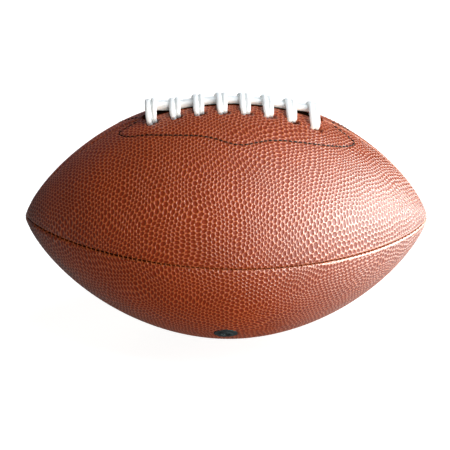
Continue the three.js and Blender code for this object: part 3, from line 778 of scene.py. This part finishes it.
clouds = {"Vector": object_place, "Scale": 1 / (MOTTLE_SIZE * MM), "Detail": 3}
mottle = add_node(tree, "TexNoise", clouds).outputs["Fac"]
tones = {"Value": mottle, "From Min": NOISE_LOW, "From Max": NOISE_HIGH}
tones |= {"To Min": MOTTLE_LEAST, "To Max": MOTTLE_MOST}
tone = add_node(tree, "MapRange", tones).outputs["Result"]
toned = add_node(tree, "VectorMath", {0: printed, 1: tone}, operation="MULTIPLY").outputs["Vector"]
# Painted shade in seams, grooves, holes and beside the slit: first the seam's dark colour, then near-black
dark = add_node(tree, "Attribute", attribute_name="dark").outputs["Fac"]
painted_shade = {"Factor": dark, "A": toned, "B": linear(PAINTED_SEAM_SHADE)}
hollow_shaded = add_node(tree, "Mix", painted_shade, data_type="RGBA").outputs["Result"]
inside = add_node(tree, "Math", {0: dark, 1: 1}, operation="SUBTRACT", use_clamp=True).outputs[0]
depths = {"Factor": inside, "A": hollow_shaded, "B": linear(PAINTED_HOLE_SHADE)}
blackened = add_node(tree, "Mix", depths, data_type="RGBA").outputs["Result"]
give_inputs(tree, shader, {"Base Color": blackened})
print("nodes for the colour:", len(tree.nodes))

# %% [markdown]
# The mesh holds the pebbles, and bump adds what is finer: the crisp foot of the net and the grain
# of the coating. Polyurethane has an IOR of about 1.5, and a satin finish a roughness of about 0.4.
# The coating on a new ball shines more than that, so the IOR was raised until the glare matched.
# The dimples shine less than the net, and what lies in a seam or a hole doesn't shine at all.

# %% Grain and gloss of the leather
GRAIN_SIZE = 0.5
GRAIN_BUMP = 0.05
FOOT_BUMP = -0.15
DIMPLE_GLOSS = 0.33
LEATHER_IOR = 1.9
LEATHER_ROUGHNESS = 0.41

grains = {"Vector": object_place, "Scale": 1 / (GRAIN_SIZE * MM), "Detail": 2}
grain = add_node(tree, "TexNoise", grains).outputs["Fac"]
foot = add_node(tree, "Math", {0: spot, 1: FOOT_BUMP}, operation="MULTIPLY").outputs[0]
height = add_node(tree, "Math", {0: grain, 1: GRAIN_BUMP, 2: foot}, operation="MULTIPLY_ADD").outputs[0]
bump = add_node(tree, "Bump", {"Height": height, "Distance": MM, "Strength": 1}).outputs["Normal"]
# Where painted shade darkens seams, grooves and holes, the gloss goes too
unshaded = add_node(tree, "Math", {0: 1, 1: dark}, operation="SUBTRACT", use_clamp=True).outputs[0]
gloss = add_node(tree, "MapRange", {"Value": spot, "To Min": 1, "To Max": DIMPLE_GLOSS}).outputs["Result"]
gloss = add_node(tree, "Math", {0: gloss, 1: unshaded}, operation="MULTIPLY").outputs[0]
give_inputs(tree, shader, {"Normal": bump, "Specular IOR Level": gloss})
give_inputs(tree, shader, {"IOR": LEATHER_IOR, "Roughness": LEATHER_ROUGHNESS})
print("leather nodes:", len(tree.nodes))

# %% The four panels
# Each panel: the seam before it, the turn of its pebbles in degrees, its seed, its marks, its node
PANELS = {
    "panel_lace_front": (LACE_SEAM, -3, 11, lace_panel_marks, "cover_lace_front"),
    "panel_lace_back": (BACK_SEAM, 14, 23, lace_panel_marks, "cover_lace_back"),
    "panel_valve": (FRONT_SEAM, 8, 37, valve_panel_marks, "cover_valve"),
    "panel_plain": (BELLY_SEAM, -4, 51, None, "cover_plain"),
}

for name, (seam, turn, seed, marks, node) in PANELS.items():
    sheet = flat_sheet(name)
    wrap_panel(sheet, seam, math.radians(turn), seed, marks)
    bpy.ops.object.shade_smooth()
    finish_piece(sheet, leather, "cover_leather", node)

# %% [markdown]
# ## Stitches
#
# A sewn line is a row of short visible stitches, each of which comes up from one needle hole, lies
# on the leather and goes down the next. One stitch is modelled flat, as a short rod with a few
# rings. Every copy is then laid along its line by formula, so that it follows the ball. An array
# along a curve could do that too, but its copies wouldn't dip into the leather. The stitches of
# one line are one mesh, because one thread makes them.

# %% One stitch
STITCH_SIDES = 6
STITCH_RINGS = 4


def one_stitch():
    """A rod along X of one unit's length and one unit's thickness, with rings to bend at."""
    bpy.ops.object.select_all(action="DESELECT")
    lying = (0, quarter_turn, 0)
    bpy.ops.mesh.primitive_cylinder_add(vertices=STITCH_SIDES, radius=0.5, depth=1, rotation=lying)
    rod = bpy.context.object
    bpy.ops.object.transform_apply(location=False, rotation=True, scale=False)
    bpy.context.tool_settings.mesh_select_mode = (False, True, False)
    bpy.ops.object.mode_set(mode="EDIT")
    bpy.ops.mesh.select_all(action="DESELECT")
    bpy.ops.object.mode_set(mode="OBJECT")
    ends = vertices_of(rod.data)[:, 0]
    for edge in rod.data.edges:
        start, stop = edge.vertices
        edge.select = bool(abs(ends[start] - ends[stop]) > 0.5)
    bpy.ops.object.mode_set(mode="EDIT")
    bpy.ops.mesh.subdivide(number_cuts=STITCH_RINGS)
    bpy.ops.object.mode_set(mode="OBJECT")
    return rod


rod = one_stitch()
rod_places = vertices_of(rod.data)
rod_faces = [list(face.vertices) for face in rod.data.polygons]
bpy.ops.object.delete()
print("one stitch has", len(rod_faces), "faces")

# %% Lay stitches along a line


def smooth_piece(name, places, faces):
    """An object from points and faces, shaded smooth."""
    mesh = bpy.data.meshes.new(name)
    mesh.from_pydata(places.tolist(), [], faces)
    piece = bpy.data.objects.new(name, mesh)
    bpy.context.scene.collection.objects.link(piece)
    bpy.ops.object.select_all(action="DESELECT")
    piece.select_set(True)
    bpy.context.view_layer.objects.active = piece
    bpy.ops.object.shade_smooth()
    return piece


def sewn_line(name, lay, count):
    """Copies of the stitch as one mesh. lay(k, rod) places the points of stitch number k."""
    places = np.concatenate([lay(k, rod_places) for k in range(count)])
    size = len(rod_places)
    faces = [[v + k * size for v in face] for k in range(count) for face in rod_faces]
    return smooth_piece(name, places, faces)


print("points of one stitch:", len(rod_places))

# %% [markdown]
# The thread is waxed polyester: twisted, nearly black on the patch and brown in the seams, with a
# dull gloss. Its twist is finer than the picture can show, so it is drawn a little coarser.

# %% Waxed threads
TWIST_SIZE = 0.5
TWIST_SHADE = 0.45
THREAD_ROUGHNESS = 0.6
THREAD_GLOSS = 0.3


def thread(name, hex_colour):
    """A twisted thread: bands of shade round it, and little gloss."""
    material, tree, shader = new_material(name)
    place = add_node(tree, "TexCoord").outputs["Object"]
    twist = {"Vector": place, "Scale": 1 / (TWIST_SIZE * MM), "Detail": 1}
    strands = add_node(tree, "TexNoise", twist).outputs["Fac"]
    shades = {"Factor": strands, "A": linear(hex_colour, TWIST_SHADE), "B": linear(hex_colour)}
    mixed = add_node(tree, "Mix", shades, data_type="RGBA").outputs["Result"]
    give_inputs(tree, shader, {"Base Color": mixed})
    give_inputs(tree, shader, {"Roughness": THREAD_ROUGHNESS, "Specular IOR Level": THREAD_GLOSS})
    return material


black_thread = thread("waxed black polyester thread", "#1f1613")
brown_thread = thread("waxed brown polyester thread", "#a8562a")
print("threads:", black_thread.name, "and", brown_thread.name)

# %% Bracket stitching round the lacing
PATCH_STITCH_PITCH = 3.4
PATCH_STITCH_LENGTH = 3.0
PATCH_STITCH_THICKNESS = 1.05
PATCH_STITCH_SINK = 0.34
PATCH_STITCH_BOW = 0.6
# The share of a stitch's thickness that is left at its ends
STITCH_END_SHARE = 0.3
LOOK_AHEAD = 0.5
NO_LENGTH = 1e-6


def patch_stitch(side):
    line = stitch_line(side)
    line_steps = np.hypot(*np.diff(line, axis=0).T)
    line_run = np.concatenate([[0], np.cumsum(line_steps)])
    patch_stitches = int(line_run[-1] / PATCH_STITCH_PITCH)

    def lay(k, rod):
        steps = k + 0.5 + rod[:, 0] * PATCH_STITCH_LENGTH / PATCH_STITCH_PITCH
        run = steps * line_run[-1] / patch_stitches
        x, across = (np.interp(run, line_run, line[:, i]) for i in (0, 1))
        ahead = [np.interp(run + LOOK_AHEAD, line_run, line[:, i]) - v for i, v in ((0, x), (1, across))]
        length = np.maximum(np.hypot(*ahead), NO_LENGTH)
        arch = np.cos(math.pi * rod[:, 0])
        taper = STITCH_END_SHARE + (1 - STITCH_END_SHARE) * arch**0.5
        beside = PATCH_STITCH_THICKNESS * rod[:, 1] * taper
        height = PATCH_STITCH_THICKNESS * (rod[:, 2] + PATCH_STITCH_BOW * arch - 0.5) - PATCH_STITCH_SINK
        x = x - beside * ahead[1] / length
        across = across + beside * ahead[0] / length
        return on_top(x, across, height)

    return lay, patch_stitches


for side, name in ((1, "front"), (-1, "back")):
    sewn = sewn_line("bracket_stitches_" + name, *patch_stitch(side))
    finish_piece(sewn, black_thread, "patch_thread", "patch_stitch_" + name)

# %% [markdown]
# The panels are sewn inside out, so a seam shows only short bars of thread deep in its groove,
# where the pull of the thread opens it a little. In the slack part, left of the middle, they stand
# up nearly to the surface and show as small light flecks.

# %% Stitches in the seams
SEAM_STITCH_DEPTH = 1.0
SEAM_STITCH_LENGTH = 2.4
SEAM_STITCH_THICKNESS = 0.7
SEAM_STITCH_SLANT = 0.5
SEAM_STITCH_BOW = 0.35
SEAM_SEWN_END = 135
SEAM_LOOSE_RISE = 0.8
SEAM_LOOSE_PLACE = -60
SEAM_LOOSE_REACH = 40
SEAM_RUNS = {
    "front": (FRONT_SEAM, -SEAM_SEWN_END, SEAM_SEWN_END),
    "back": (BACK_SEAM, -SEAM_SEWN_END, SEAM_SEWN_END),
    "belly": (BELLY_SEAM, -SEAM_SEWN_END, SEAM_SEWN_END),
    "top_left": (LACE_SEAM, -SEAM_SEWN_END, -SLIT_END),
    "top_right": (LACE_SEAM, SLIT_END, SEAM_SEWN_END),
}


def seam_stitch(seam, start, stop, count):
    def lay(k, rod):
        x = start + (k + 0.5) * (stop - start) / count
        along = rod[:, 1] * SEAM_STITCH_THICKNESS + SEAM_STITCH_SLANT * rod[:, 0]
        x = x + along / math.hypot(profile_slope(x), 1)
        beside = SEAM_STITCH_LENGTH * rod[:, 0] / profile_radius(x)
        bow = SEAM_STITCH_BOW * np.cos(math.pi * rod[:, 0])
        loose = SEAM_LOOSE_RISE * fade((x - SEAM_LOOSE_PLACE) / SEAM_LOOSE_REACH)
        depth = SEAM_STITCH_DEPTH - loose - bow - SEAM_STITCH_THICKNESS * rod[:, 2]
        return on_ball(x, seam + beside, depth)

    return lay


for name, (seam, start, stop) in SEAM_RUNS.items():
    length = np.interp(stop, dense_places, dense_run) - np.interp(start, dense_places, dense_run)
    count = int(length / SEAM_STITCH_PITCH)
    sewn = sewn_line("seam_stitches_" + name, seam_stitch(seam, start, stop, count), count)
    finish_piece(sewn, brown_thread, "seam_thread", "seam_thread_" + name)

# %% [markdown]
# ## Lacing
#
# One long white cord closes the slit. It lies double along the top, and eight double crosses tie
# the two rows of holes over it. Its route repeats that of the solids: a list of legs given by the
# place along the ball, the distance from the slit and the height over the leather. Drawn tight, a
# cross is a low tent, pressed flat where it lies on the long strands and pinched at its holes. The
# left strand of each cross goes deepest into the hole and the right one stops beside it. The long
# strands climb off the leather towards the ends, where they come out of the slit, and turn on edge
# at the left one. So every point also has a width, a thickness, and which way its width lies:
# along the ball or across it.

# %% Sizes of the lace
LACE_WIDTH = 3.9
LACE_THICKNESS = 4.2
LACE_LAY_GAP = 0.2
LACE_BEND = 2.05
LACE_BEND_DEPTH = 4.9
LACE_TAIL_LENGTH = 12
STRAND_REACH = 1.95
CROSS_THICKNESS = 2.7
PINCHED_WIDTH = 3.4

lay_height = LACE_THICKNESS / 2 + LACE_LAY_GAP
under_height = -(LACE_BEND_DEPTH + LACE_BEND)
# A section: its width, its thickness, and one where its width lies along the ball
ROUND_ACROSS = [LACE_WIDTH, LACE_THICKNESS, 0]
ROUND_ALONG = [LACE_WIDTH, LACE_THICKNESS, 1]
PINCHED = [PINCHED_WIDTH, CROSS_THICKNESS, 1]
print("the long strands lie", round(lay_height, 2), "mm over the leather")

# %% Bends, and the way down through the leather


def quarter_bend(start, corner, stop, section):
    """Three points of a quarter circle round a corner."""
    start, corner, stop = (np.array(p, float) for p in (start, corner, stop))
    middle = corner + (start + stop - 2 * corner) * (1 - math.sqrt(0.5))
    return [list(p) + section for p in (start, middle, stop)]


def down_leg(x, across, direction, section):
    """Down through the leather, then level inside, in a direction across the ball."""
    top = [x, across, -LACE_BEND_DEPTH]
    level_end = [x, across + direction * LACE_BEND, under_height]
    return quarter_bend(top, [x, across, under_height], level_end, section)


def up_leg(x, across, direction, section):
    return down_leg(x, across, direction, section)[::-1]


print("the lace bends inside", -under_height, "mm under the leather")

# %% The long strands
# How far the strands climb and turn on edge at the left end and at the right one
END_LIFT = {-1: 3.9, 1: 2.3}
END_TWIST = {-1: 2.2, 1: 0}
END_LIFT_START = 37
END_LIFT_LENGTH = 17
LONG_STEPS = 25


def end_lift(x):
    """How far the long strands have climbed off the leather."""
    share = (abs(x - LACE_START) - END_LIFT_START) / END_LIFT_LENGTH
    return END_LIFT[1 if x > LACE_START else -1] * float(smooth_step(share))


def strand_section(x):
    """The section of the long strands, which grows taller as they turn on edge."""
    share = (abs(x - LACE_START) - END_LIFT_START + END_LIFT_LENGTH) / (2 * END_LIFT_LENGTH)
    twist = END_TWIST[1 if x > LACE_START else -1] * float(smooth_step(share))
    return [LACE_WIDTH, LACE_THICKNESS + twist, 0]


def long_leg(start, end, across):
    """A long strand, from its rise out of the slit at the left to its dive into it at the right."""
    level = lay_height + END_LIFT[-1]
    first = [start, across, level - LACE_BEND]
    top = [start + LACE_BEND, across, level]
    rise = quarter_bend(first, [start, across, level], top, strand_section(start))
    level = lay_height + END_LIFT[1]
    last = [end, across, level - LACE_BEND]
    top = [end - LACE_BEND, across, level]
    dive = quarter_bend(top, [end, across, level], last, ROUND_ACROSS)
    run = np.linspace(start + 2 * LACE_BEND, end - 2 * LACE_BEND, LONG_STEPS)
    between = [[x, across, lay_height + end_lift(x)] + strand_section(x) for x in run]
    return rise + between + dive


print("points of a long strand:", len(long_leg(cross_places[0], cross_places[-1], STRAND_REACH)))

# %% The crosses
# Widths of the left and the right strand of a cross, and how far they lie from its middle
CROSS_WIDTHS = {-1: 4.1, 1: 3.4}
CROSS_REACHES = {-1: 1.95, 1: 1.7}
# Where these strands enter a hole: along the ball, and nearer the slit
HOLE_PLACES = {-1: (-1.7, -0.3), 1: (1.5, 1.4)}
CROSS_HEIGHT = 5.6
CROSS_ROUNDNESS = 1.35
CROSS_SPREAD_RISE = 0.35
# How far a cross on the slope of the ball leans back to stand upright
CROSS_UPRIGHT = 0.8
CROSS_STEPS = 20


def strand_hole(x, side, reach):
    """Where one strand of a cross enters its hole: place along the ball and distance from the slit."""
    shift, nearer = HOLE_PLACES[reach]
    return x + shift, hole_across(x, side) - side * nearer


def cross_leg(x, reach):
    """A cross, from the front hole over the two long strands to the back hole."""
    points = []
    power = 2 / CROSS_ROUNDNESS
    slope = float(profile_slope(x))
    for turn in np.linspace(0, math.pi, CROSS_STEPS + 1):
        side = 1 if turn < quarter_turn else -1
        place, far = strand_hole(x, side, reach)
        share = abs(math.cos(turn)) ** power
        rise = max(0, math.sin(turn)) ** power
        spread = smooth_step(rise / CROSS_SPREAD_RISE)
        along = place + (x + reach * CROSS_REACHES[reach] - place) * spread
        width = PINCHED_WIDTH + (CROSS_WIDTHS[reach] - PINCHED_WIDTH) * spread
        height = (CROSS_HEIGHT + end_lift(x)) * rise
        along += CROSS_UPRIGHT * height * slope / math.hypot(slope, 1)
        points.append([along, far * share, height, width, CROSS_THICKNESS, 1])
    return points


def winding(reach):
    """Eight crosses on one side of each pair of holes, worked from right to left."""
    legs = []
    for x in reversed(cross_places):
        place, far = strand_hole(x, 1, reach)
        legs += up_leg(place, far, -1, PINCHED) + cross_leg(x, reach)
        if x != cross_places[0]:
            place, far = strand_hole(x, -1, reach)
            legs += down_leg(place, far, 1, PINCHED)
            legs.append([place - LACE_PITCH / 2, 0, under_height] + ROUND_ALONG)
    return legs


print("points of a winding:", len(winding(1)))

# %% Route of the lace
CORNER_SHARE = 0.25


def lace_route():
    """The whole lace: a long strand, a winding, the second strand and the second winding."""
    left, right = cross_places[0], cross_places[-1]
    first, far = strand_hole(left, -1, -1)
    route = [[left - LACE_BEND - LACE_TAIL_LENGTH, STRAND_REACH, under_height] + ROUND_ACROSS]
    level_end = [left - LACE_BEND, STRAND_REACH, under_height]
    up_end = [left, STRAND_REACH, -LACE_BEND_DEPTH]
    route += quarter_bend(level_end, [left, STRAND_REACH, under_height], up_end, ROUND_ACROSS)
    route += long_leg(left, right, STRAND_REACH) + down_leg(right, STRAND_REACH, 1, ROUND_ALONG)
    route += winding(-1) + down_leg(first, far, 1, PINCHED)
    route += up_leg(left, -STRAND_REACH, -1, ROUND_ALONG)
    route += long_leg(left, right, -STRAND_REACH) + down_leg(right, -STRAND_REACH, 1, ROUND_ALONG)
    last, far = strand_hole(left, -1, 1)
    route += winding(1) + down_leg(last, far, -1, PINCHED)
    route.append([last, far - LACE_BEND - LACE_TAIL_LENGTH, under_height] + PINCHED)
    return np.array(route)


def corner_cut(points):
    """Rounds a line by cutting every corner once, as a carpenter rounds a board."""
    near = (1 - CORNER_SHARE) * points[:-1] + CORNER_SHARE * points[1:]
    far = CORNER_SHARE * points[:-1] + (1 - CORNER_SHARE) * points[1:]
    cut = np.stack([near, far], axis=1).reshape(-1, points.shape[1])
    return np.concatenate([points[:1], cut, points[-1:]])


route = corner_cut(corner_cut(lace_route()))
print("points of the lace's route:", len(route))

# %% [markdown]
# A curve with a bevel keeps one section all along. Here the section changes, so rings of points
# are laid round the route instead, each square to it, and joined to their neighbours.

# %% Lace
LACE_SIDES = 14
SMALL_STEP = 0.1

middle = on_top(*route[:, :3].T)
ahead = np.gradient(middle, axis=0)
ahead /= np.linalg.norm(ahead, axis=1, keepdims=True)
beside = on_top(route[:, 0], route[:, 1] + SMALL_STEP, route[:, 2]) - middle
beside /= np.linalg.norm(beside, axis=1, keepdims=True)
lengthwise = route[:, 5:6]
wide = lengthwise * np.array([1, 0, 0]) + (1 - lengthwise) * beside
wide -= ahead * np.sum(wide * ahead, axis=1, keepdims=True)
wide /= np.linalg.norm(wide, axis=1, keepdims=True)
thick = np.cross(ahead, wide)

turns = np.linspace(0, 2 * math.pi, LACE_SIDES, endpoint=False)
rings = middle[:, None, :] + MM / 2 * (
    route[:, None, 3:4] * np.cos(turns)[None, :, None] * wide[:, None, :]
    + route[:, None, 4:5] * np.sin(turns)[None, :, None] * thick[:, None, :]
)
faces = [
    [r * LACE_SIDES + k, r * LACE_SIDES + n, (r + 1) * LACE_SIDES + n, (r + 1) * LACE_SIDES + k]
    for r in range(len(route) - 1)
    for k, n in zip(range(LACE_SIDES), [*range(1, LACE_SIDES), 0])
]
faces.append(list(range(LACE_SIDES))[::-1])
faces.append([(len(route) - 1) * LACE_SIDES + k for k in range(LACE_SIDES)])
lace = smooth_piece("lace_cord", rings.reshape(-1, 3), faces)
lace_length = np.sum(np.linalg.norm(np.diff(middle, axis=0), axis=1))
print(f"the lace is {lace_length:.2f} m long")

# %% [markdown]
# The lace is extruded vinyl: white, smooth and a little translucent, with a soft gloss. A faint cool
# glow is given off as well, a painted glow that keeps the lace white where the lamps leave it grey.

# %% White vinyl
VINYL_COLOUR = "#f5faf9"
SCUFF_COLOUR = "#ecf0f1"
SCUFF_SIZE = 6
VINYL_ROUGHNESS = 0.4
VINYL_GLOSS = 0.4
VINYL_TRANSLUCENCY = 0.7
VINYL_GLOW_DEPTH = 4
# A painted glow: light that the lace gives off though it is no lamp
PAINTED_GLOW_COLOUR = "#eef6f2"
PAINTED_GLOW_STRENGTH = 0.08

vinyl, tree, shader = new_material("extruded white vinyl")
place = add_node(tree, "TexCoord").outputs["Object"]
scuffing = {"Vector": place, "Scale": 1 / (SCUFF_SIZE * MM), "Detail": 3}
scuffs = add_node(tree, "TexNoise", scuffing).outputs["Fac"]
whites = {"Factor": scuffs, "A": linear(VINYL_COLOUR), "B": linear(SCUFF_COLOUR)}
scuffed = add_node(tree, "Mix", whites, data_type="RGBA").outputs["Result"]
vinyl_facts = {
    "Base Color": scuffed,
    "Roughness": VINYL_ROUGHNESS,
    "Specular IOR Level": VINYL_GLOSS,
    "Subsurface Weight": VINYL_TRANSLUCENCY,
    "Subsurface Radius": (1, 1, 1),
    "Subsurface Scale": VINYL_GLOW_DEPTH * MM,
    "Emission Color": linear(PAINTED_GLOW_COLOUR),
    "Emission Strength": PAINTED_GLOW_STRENGTH,
}
give_inputs(tree, shader, vinyl_facts)
finish_piece(lace, vinyl, "lace_vinyl", "lace")

# %% [markdown]
# ## Valve
#
# A moulded rubber valve sits in the recess: a round pad with a rounded rim, a raised lip round the
# bore, and a plug with a dimple that a needle finds. A profile could be spun for it. It is modelled
# as by hand instead: a thick disc, whose top face is inset and moved up or down step by step, and
# which is then turned to the ball's face.

# %% Valve
VALVE_PAD_RADIUS = 8.1
VALVE_PAD_RECESS = 0.35
VALVE_PAD_THICKNESS = 2.2
VALVE_RIM_RISE = 0.4
VALVE_SIDES = 64
VALVE_SMOOTH_ANGLE = math.radians(50)
# Each step: how far the top face shrinks, then how far it moves up
RIM_STEPS = [(0.15, 0.22), (0.25, 0.13), (0.4, 0.05), (2.6, 0.0)]
LIP_STEPS = [(0.12, 0.1), (0.12, 0.3), (0.2, 0.15), (0.5, 0.05), (0.75, 0.0)]
PLUG_STEPS = [(0.12, -0.1), (0.08, -0.5), (0.3, 0.05), (0.85, 0.1)]
DIMPLE_STEPS = [(0.1, -0.1), (0.2, -0.8), (0.3, -0.3)]

valve_steps = RIM_STEPS + LIP_STEPS + PLUG_STEPS + DIMPLE_STEPS
bpy.ops.object.select_all(action="DESELECT")
bpy.ops.mesh.primitive_cylinder_add(
    vertices=VALVE_SIDES,
    radius=MM * VALVE_PAD_RADIUS,
    depth=MM * VALVE_PAD_THICKNESS,
    location=(0, 0, -MM * (VALVE_PAD_RECESS + VALVE_RIM_RISE + VALVE_PAD_THICKNESS / 2)),
)
valve = bpy.context.object
valve.name = "valve_rubber_pad"
bpy.ops.object.transform_apply(location=True, rotation=False, scale=False)
select_faces(valve, lambda face: face.normal.z > FACING_UP)
for shrink, rise in valve_steps:
    bpy.ops.mesh.inset(thickness=MM * shrink)
    bpy.ops.transform.translate(value=(0, 0, MM * rise))
bpy.ops.object.mode_set(mode="OBJECT")
valve_top = on_ball(VALVE_PLACE, VALVE_ANGLE, 0)
valve_axis = Vector(valve_top - on_ball(VALVE_PLACE, VALVE_ANGLE, 1)).normalized()
valve_turn = valve_axis.to_track_quat("Z", "Y").to_matrix().to_4x4()
valve.data.transform(Matrix.Translation(Vector(valve_top)) @ valve_turn)
bpy.ops.object.shade_smooth_by_angle(angle=VALVE_SMOOTH_ANGLE)
print("steps of the valve:", len(valve_steps))

# %% [markdown]
# Its rubber is black and matt, with a faint bloom where it has been handled.

# %% Moulded black rubber
RUBBER_COLOUR = "#23272a"
BLOOM_COLOUR = "#363b3e"
RUBBER_GRAIN_SIZE = 0.6
RUBBER_ROUGHNESS = 0.5
RUBBER_GLOSS = 0.4

rubber, tree, shader = new_material("moulded black rubber")
place = add_node(tree, "TexCoord").outputs["Object"]
blooming = {"Vector": place, "Scale": 1 / (RUBBER_GRAIN_SIZE * MM), "Detail": 2}
bloom = add_node(tree, "TexNoise", blooming).outputs["Fac"]
blacks = {"Factor": bloom, "A": linear(RUBBER_COLOUR), "B": linear(BLOOM_COLOUR)}
bloomed = add_node(tree, "Mix", blacks, data_type="RGBA").outputs["Result"]
give_inputs(tree, shader, {"Base Color": bloomed})
give_inputs(tree, shader, {"Roughness": RUBBER_ROUGHNESS, "Specular IOR Level": RUBBER_GLOSS})
finish_piece(valve, rubber, "valve_rubber", "valve_body", "valve_plug")

# %% [markdown]
# ## What lies inside
#
# The lining, the patches and the tongue are glued and woven cloth, and the bladder is butyl
# rubber. They are seen only through the slit and the holes, so the solids stand for them as they
# are and each gets its cloth or its rubber.

# %% Cloth and bladder rubber
WEAVE_SPACING = 0.9
WEAVE_SHADE = 0.6
CLOTH_ROUGHNESS = 0.85
CLOTH_GLOSS = 0.2
# The wave texture turns by this many radians in one unit
WAVE_TEXTURE_TURN = 20
INSIDE = {
    "woven_lining": ("#b8a888", ["lining_lace_front", "lining_lace_back", "lining_valve", "lining_plain"]),
    "woven_patch": ("#3b2a20", ["lace_patch_front", "lace_patch_back", "lacing_tongue"]),
}
INSIDE_RUBBER = ("bladder", "valve_boss")


def woven_cloth(name, hex_colour):
    """A plain weave: two crossed bands of threads, drawn coarser than real so that they show."""
    material, tree, shader = new_material(name)
    place = add_node(tree, "TexCoord").outputs["Object"]
    threads = {"Vector": place, "Scale": 2 * math.pi / (WAVE_TEXTURE_TURN * WEAVE_SPACING * MM)}
    bands = [add_node(tree, "TexWave", threads, bands_direction=axis).outputs["Fac"] for axis in ("X", "Z")]
    weave = add_node(tree, "Math", {0: bands[0], 1: bands[1]}, operation="MAXIMUM").outputs[0]
    shades = {"Factor": weave, "A": linear(hex_colour, WEAVE_SHADE), "B": linear(hex_colour)}
    mixed = add_node(tree, "Mix", shades, data_type="RGBA").outputs["Result"]
    give_inputs(tree, shader, {"Base Color": mixed})
    give_inputs(tree, shader, {"Roughness": CLOTH_ROUGHNESS, "Specular IOR Level": CLOTH_GLOSS})
    return material


for name, (hex_colour, nodes) in INSIDE.items():
    cloth = woven_cloth(name.replace("_", " ") + " cloth", hex_colour)
    for node in nodes:
        dress(bpy.data.objects[node], cloth)
for node in INSIDE_RUBBER:
    dress(bpy.data.objects[node], rubber)
print("inner solids with a finish:", sum(len(nodes) for _, nodes in INSIDE.values()) + len(INSIDE_RUBBER))

# %% [markdown]
# ## Size
#
# The box of the solids and that of the dressed ball are gathered, and the size of the dressed ball's box is
# printed. The dressed ball has to stay in the box of its solids.

# %% The boxes, and the size of the dressed ball
boxes = {"cad": [list(map(float, c)) for c in cad_box], "visual": [list(map(float, c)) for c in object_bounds()]}
print("visual box", [round(1000 * (b - a), 1) for a, b in zip(*boxes["visual"])], "mm")
